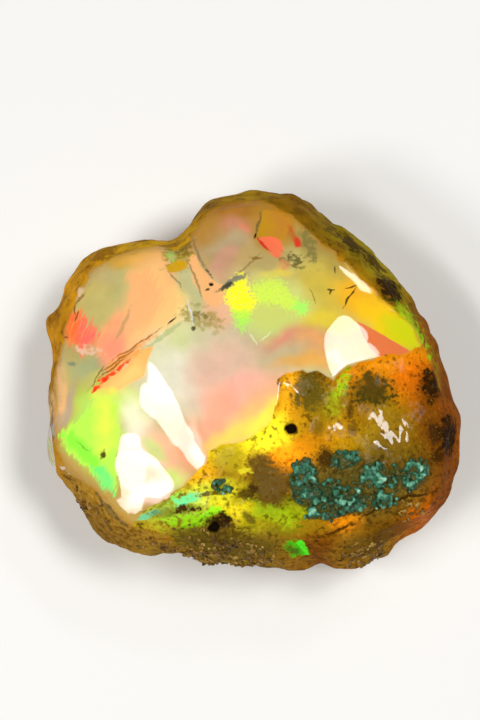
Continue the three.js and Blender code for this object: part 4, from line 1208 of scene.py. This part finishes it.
# height above the bed, as painted shade and highlight, added to the clumps of tint
tint_and_painted_shade = add(tree, "ShaderNodeMath", {0: tip, 1: 0.4, 2: patchy}, operation="MULTIPLY_ADD")
green = add(tree, "ShaderNodeValToRGB", {0: tint_and_painted_shade})
ramp = green.color_ramp
for stop, shade in ((0.22, "#4c4c18"), (0.36, "#24442a"), (0.55, "#2e6a50"), (0.78, "#6aac8c")):
    ramp.elements.new(stop).color = linear(shade)
ramp.elements[0].color = linear("#5a4c14")
ramp.elements[-1].color = linear("#b0e0c4")
shader = add(tree, "ShaderNodeBsdfPrincipled", {
    "Base Color": green, "Roughness": 0.5, "IOR": 1.5, "Coat Weight": 0.3, "Coat Roughness": 0.1,
    "Coat IOR": 1.4, "Specular IOR Level": 0.2,
})
add(tree, "ShaderNodeOutputMaterial", {"Surface": shader})
crust = scatter_grains("green_crust", crust_cover, **{
    "Grain width": 0.00042, "Gap": 0.00021, "Heap": 0.0003, "Detail": 0.00008, "Seed": 4,
    "Finish": crust_finish,
})
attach(crust, "root")

# ---- The rind's grit ----
# Sugary grains of clay and silica that still cling to the low sides of the rind, each about 0.3 mm
# across and grown together. They are what was left of the rock when the nodule came out of it.
GRIT_BEDS = [  # x, y, half length, half width, turn, how crowded
    (-13.6, -12.9, 3.2, 0.7, -50, 0.12), (-8.4, -16.0, 2.6, 0.7, -12, 0.14),
    (-1.8, -17.0, 4.6, 1.5, -3, 0.3), (10.2, -16.9, 2.2, 1.3, 10, 0.3), (14.6, -13.0, 1.2, 1.0, 30, 0.3),
    (-4.6, -15.0, 2.6, 0.7, -5, 0.15),
]
# Damp and sugary, with hardly any shine: grains from brown to the colour of pale sand, in small clumps.
grit_finish, tree = new_finish("clay_and_silica_grit")
tint = add(tree, "ShaderNodeAttribute", attribute_name="tint").outputs["Fac"]
sandy = add(tree, "ShaderNodeValToRGB", {0: tint})
ramp = sandy.color_ramp
for stop, shade in ((0.4, "#50360a"), (0.52, "#7c5818"), (0.64, "#a8843a")):
    ramp.elements.new(stop).color = linear(shade)
ramp.elements[0].color = linear("#3c2808")
ramp.elements[-1].color = linear("#d0bc88")
shader = add(tree, "ShaderNodeBsdfPrincipled", {
    "Base Color": sandy, "Roughness": 0.55, "IOR": 1.46, "Coat Weight": 0.15, "Coat Roughness": 0.08,
    "Specular IOR Level": 0.2,
})
add(tree, "ShaderNodeOutputMaterial", {"Surface": shader})
grit = scatter_grains("rind_grit", cover_of(GRIT_BEDS), **{
    "Grain width": 0.0003, "Gap": 0.00016, "Heap": 0.0001, "Detail": 0.00007, "Seed": 9,
    "Finish": grit_finish,
})
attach(grit, "root")

# ---- Table, light and camera ----
# A pale card, so wide that no view shows its edge. Ten oval soft boxes stand round the stone, and
# their reflections lie on its wet face. The camera looks down on it from the front.
HALF_TABLE = 2.5
table = bpy.data.objects.new("table", bpy.data.meshes.new("table"))
bpy.context.scene.collection.objects.link(table)
corners = [(HALF_TABLE * x, HALF_TABLE * y, 0) for x, y in ((-1, -1), (1, -1), (1, 1), (-1, 1))]
table.data.from_pydata(corners, [], [(0, 1, 2, 3)])
# Smooth matt card, which shows soft shadows and no reflections.
card_finish, tree = new_finish("pale_card")
shader = add(tree, "ShaderNodeBsdfPrincipled", {"Base Color": linear("#f0efec"), "Roughness": 0.8})
add(tree, "ShaderNodeOutputMaterial", {"Surface": shader})
table.data.materials.append(card_finish)
table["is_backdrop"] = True

LAMP_DISTANCE = 0.45
LAMP_BRIGHTNESS = 12.5  # of each box's surface, in watts per square metre and steradian
LAMP_TARGET = (0, 0, 0.015)  # a little under the middle of the stone's face


def aimed(name, data, location, target):
    """Links a camera or light at a place, turned to face a point."""
    made = bpy.data.objects.new(name, data)
    bpy.context.scene.collection.objects.link(made)
    made.location = location
    made.rotation_euler = (Vector(target) - Vector(location)).to_track_quat("-Z", "Y").to_euler()
    return made


def soft_box(name, toward, across, up, width, height, turn):
    """An oval soft box in a direction from the stone and facing it, moved across and up in its plane."""
    data = bpy.data.lights.new(name, "AREA")
    data.shape, data.size, data.size_y = "ELLIPSE", width, height
    oval_area = math.pi / 4 * width * height
    data.energy = LAMP_BRIGHTNESS * math.pi * oval_area
    box = aimed(name, data, Vector(toward).normalized() * LAMP_DISTANCE, LAMP_TARGET)
    box.location += box.rotation_euler.to_matrix() @ Vector((across, up, 0))
    box.rotation_euler.rotate_axis("Z", math.radians(turn))


# Where each box stands from the stone, its shift across and up, its width and height, and its turn.
LEFT, RIGHT = (-0.52, -0.25, 0.81), (0.371, 0.251, 0.894)
FRONT, BACK = (0.43, -0.01, 0.885), (0.4, 0.5, 0.768)
for name, toward, across, up, width, height, turn in (
    ("left_upper_box", LEFT, -0.048, 0.064, 0.18, 0.047, 4),
    ("left_long_box", LEFT, 0.022, 0.055, 0.28, 0.036, 9),
    ("left_head_box", LEFT, -0.078, 0.034, 0.08, 0.045, 5),
    ("left_near_box", LEFT, 0.034, -0.063, 0.16, 0.052, -21),
    ("left_near_middle_box", LEFT, 0.05, -0.043, 0.13, 0.082, 25),
    ("right_upper_box", RIGHT, -0.01, 0.019, 0.113, 0.096, -44),
    ("right_middle_box", RIGHT, -0.039, 0.012, 0.095, 0.043, 65),
    ("right_near_box", RIGHT, -0.056, 0.061, 0.093, 0.049, -6),
    ("right_front_box", FRONT, 0, 0, 0.13, 0.11, 0),
    ("back_slim_box", BACK, 0, 0, 0.11, 0.034, -7),
):
    soft_box(name, toward, across, up, width, height, turn)
world = bpy.data.worlds.new("studio")
world.use_nodes = True
background = world.node_tree.nodes["Background"].inputs
background["Color"].default_value = linear("#f4f2ee")
background["Strength"].default_value = 0.12
bpy.context.scene.world = world
bpy.context.scene.view_settings.view_transform = "Standard"

LOOK_DOWN = math.radians(82)
CAMERA_DISTANCE = 0.195
AIM_HEIGHT = 0.009
camera_data = bpy.data.cameras.new("camera")
camera_data.lens = 102
camera_data.clip_start = 0.01
aim = Vector((0, 0, AIM_HEIGHT))
back = Vector((0, -math.cos(LOOK_DOWN), math.sin(LOOK_DOWN)))
camera = aimed("camera", camera_data, aim + back * CAMERA_DISTANCE, aim)
camera_data.shift_x = -0.01667  # the stone lies a little to the right of the view's middle
camera_data.shift_y = 0.02431  # and a little below it
bpy.context.scene.camera = camera

low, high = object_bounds()
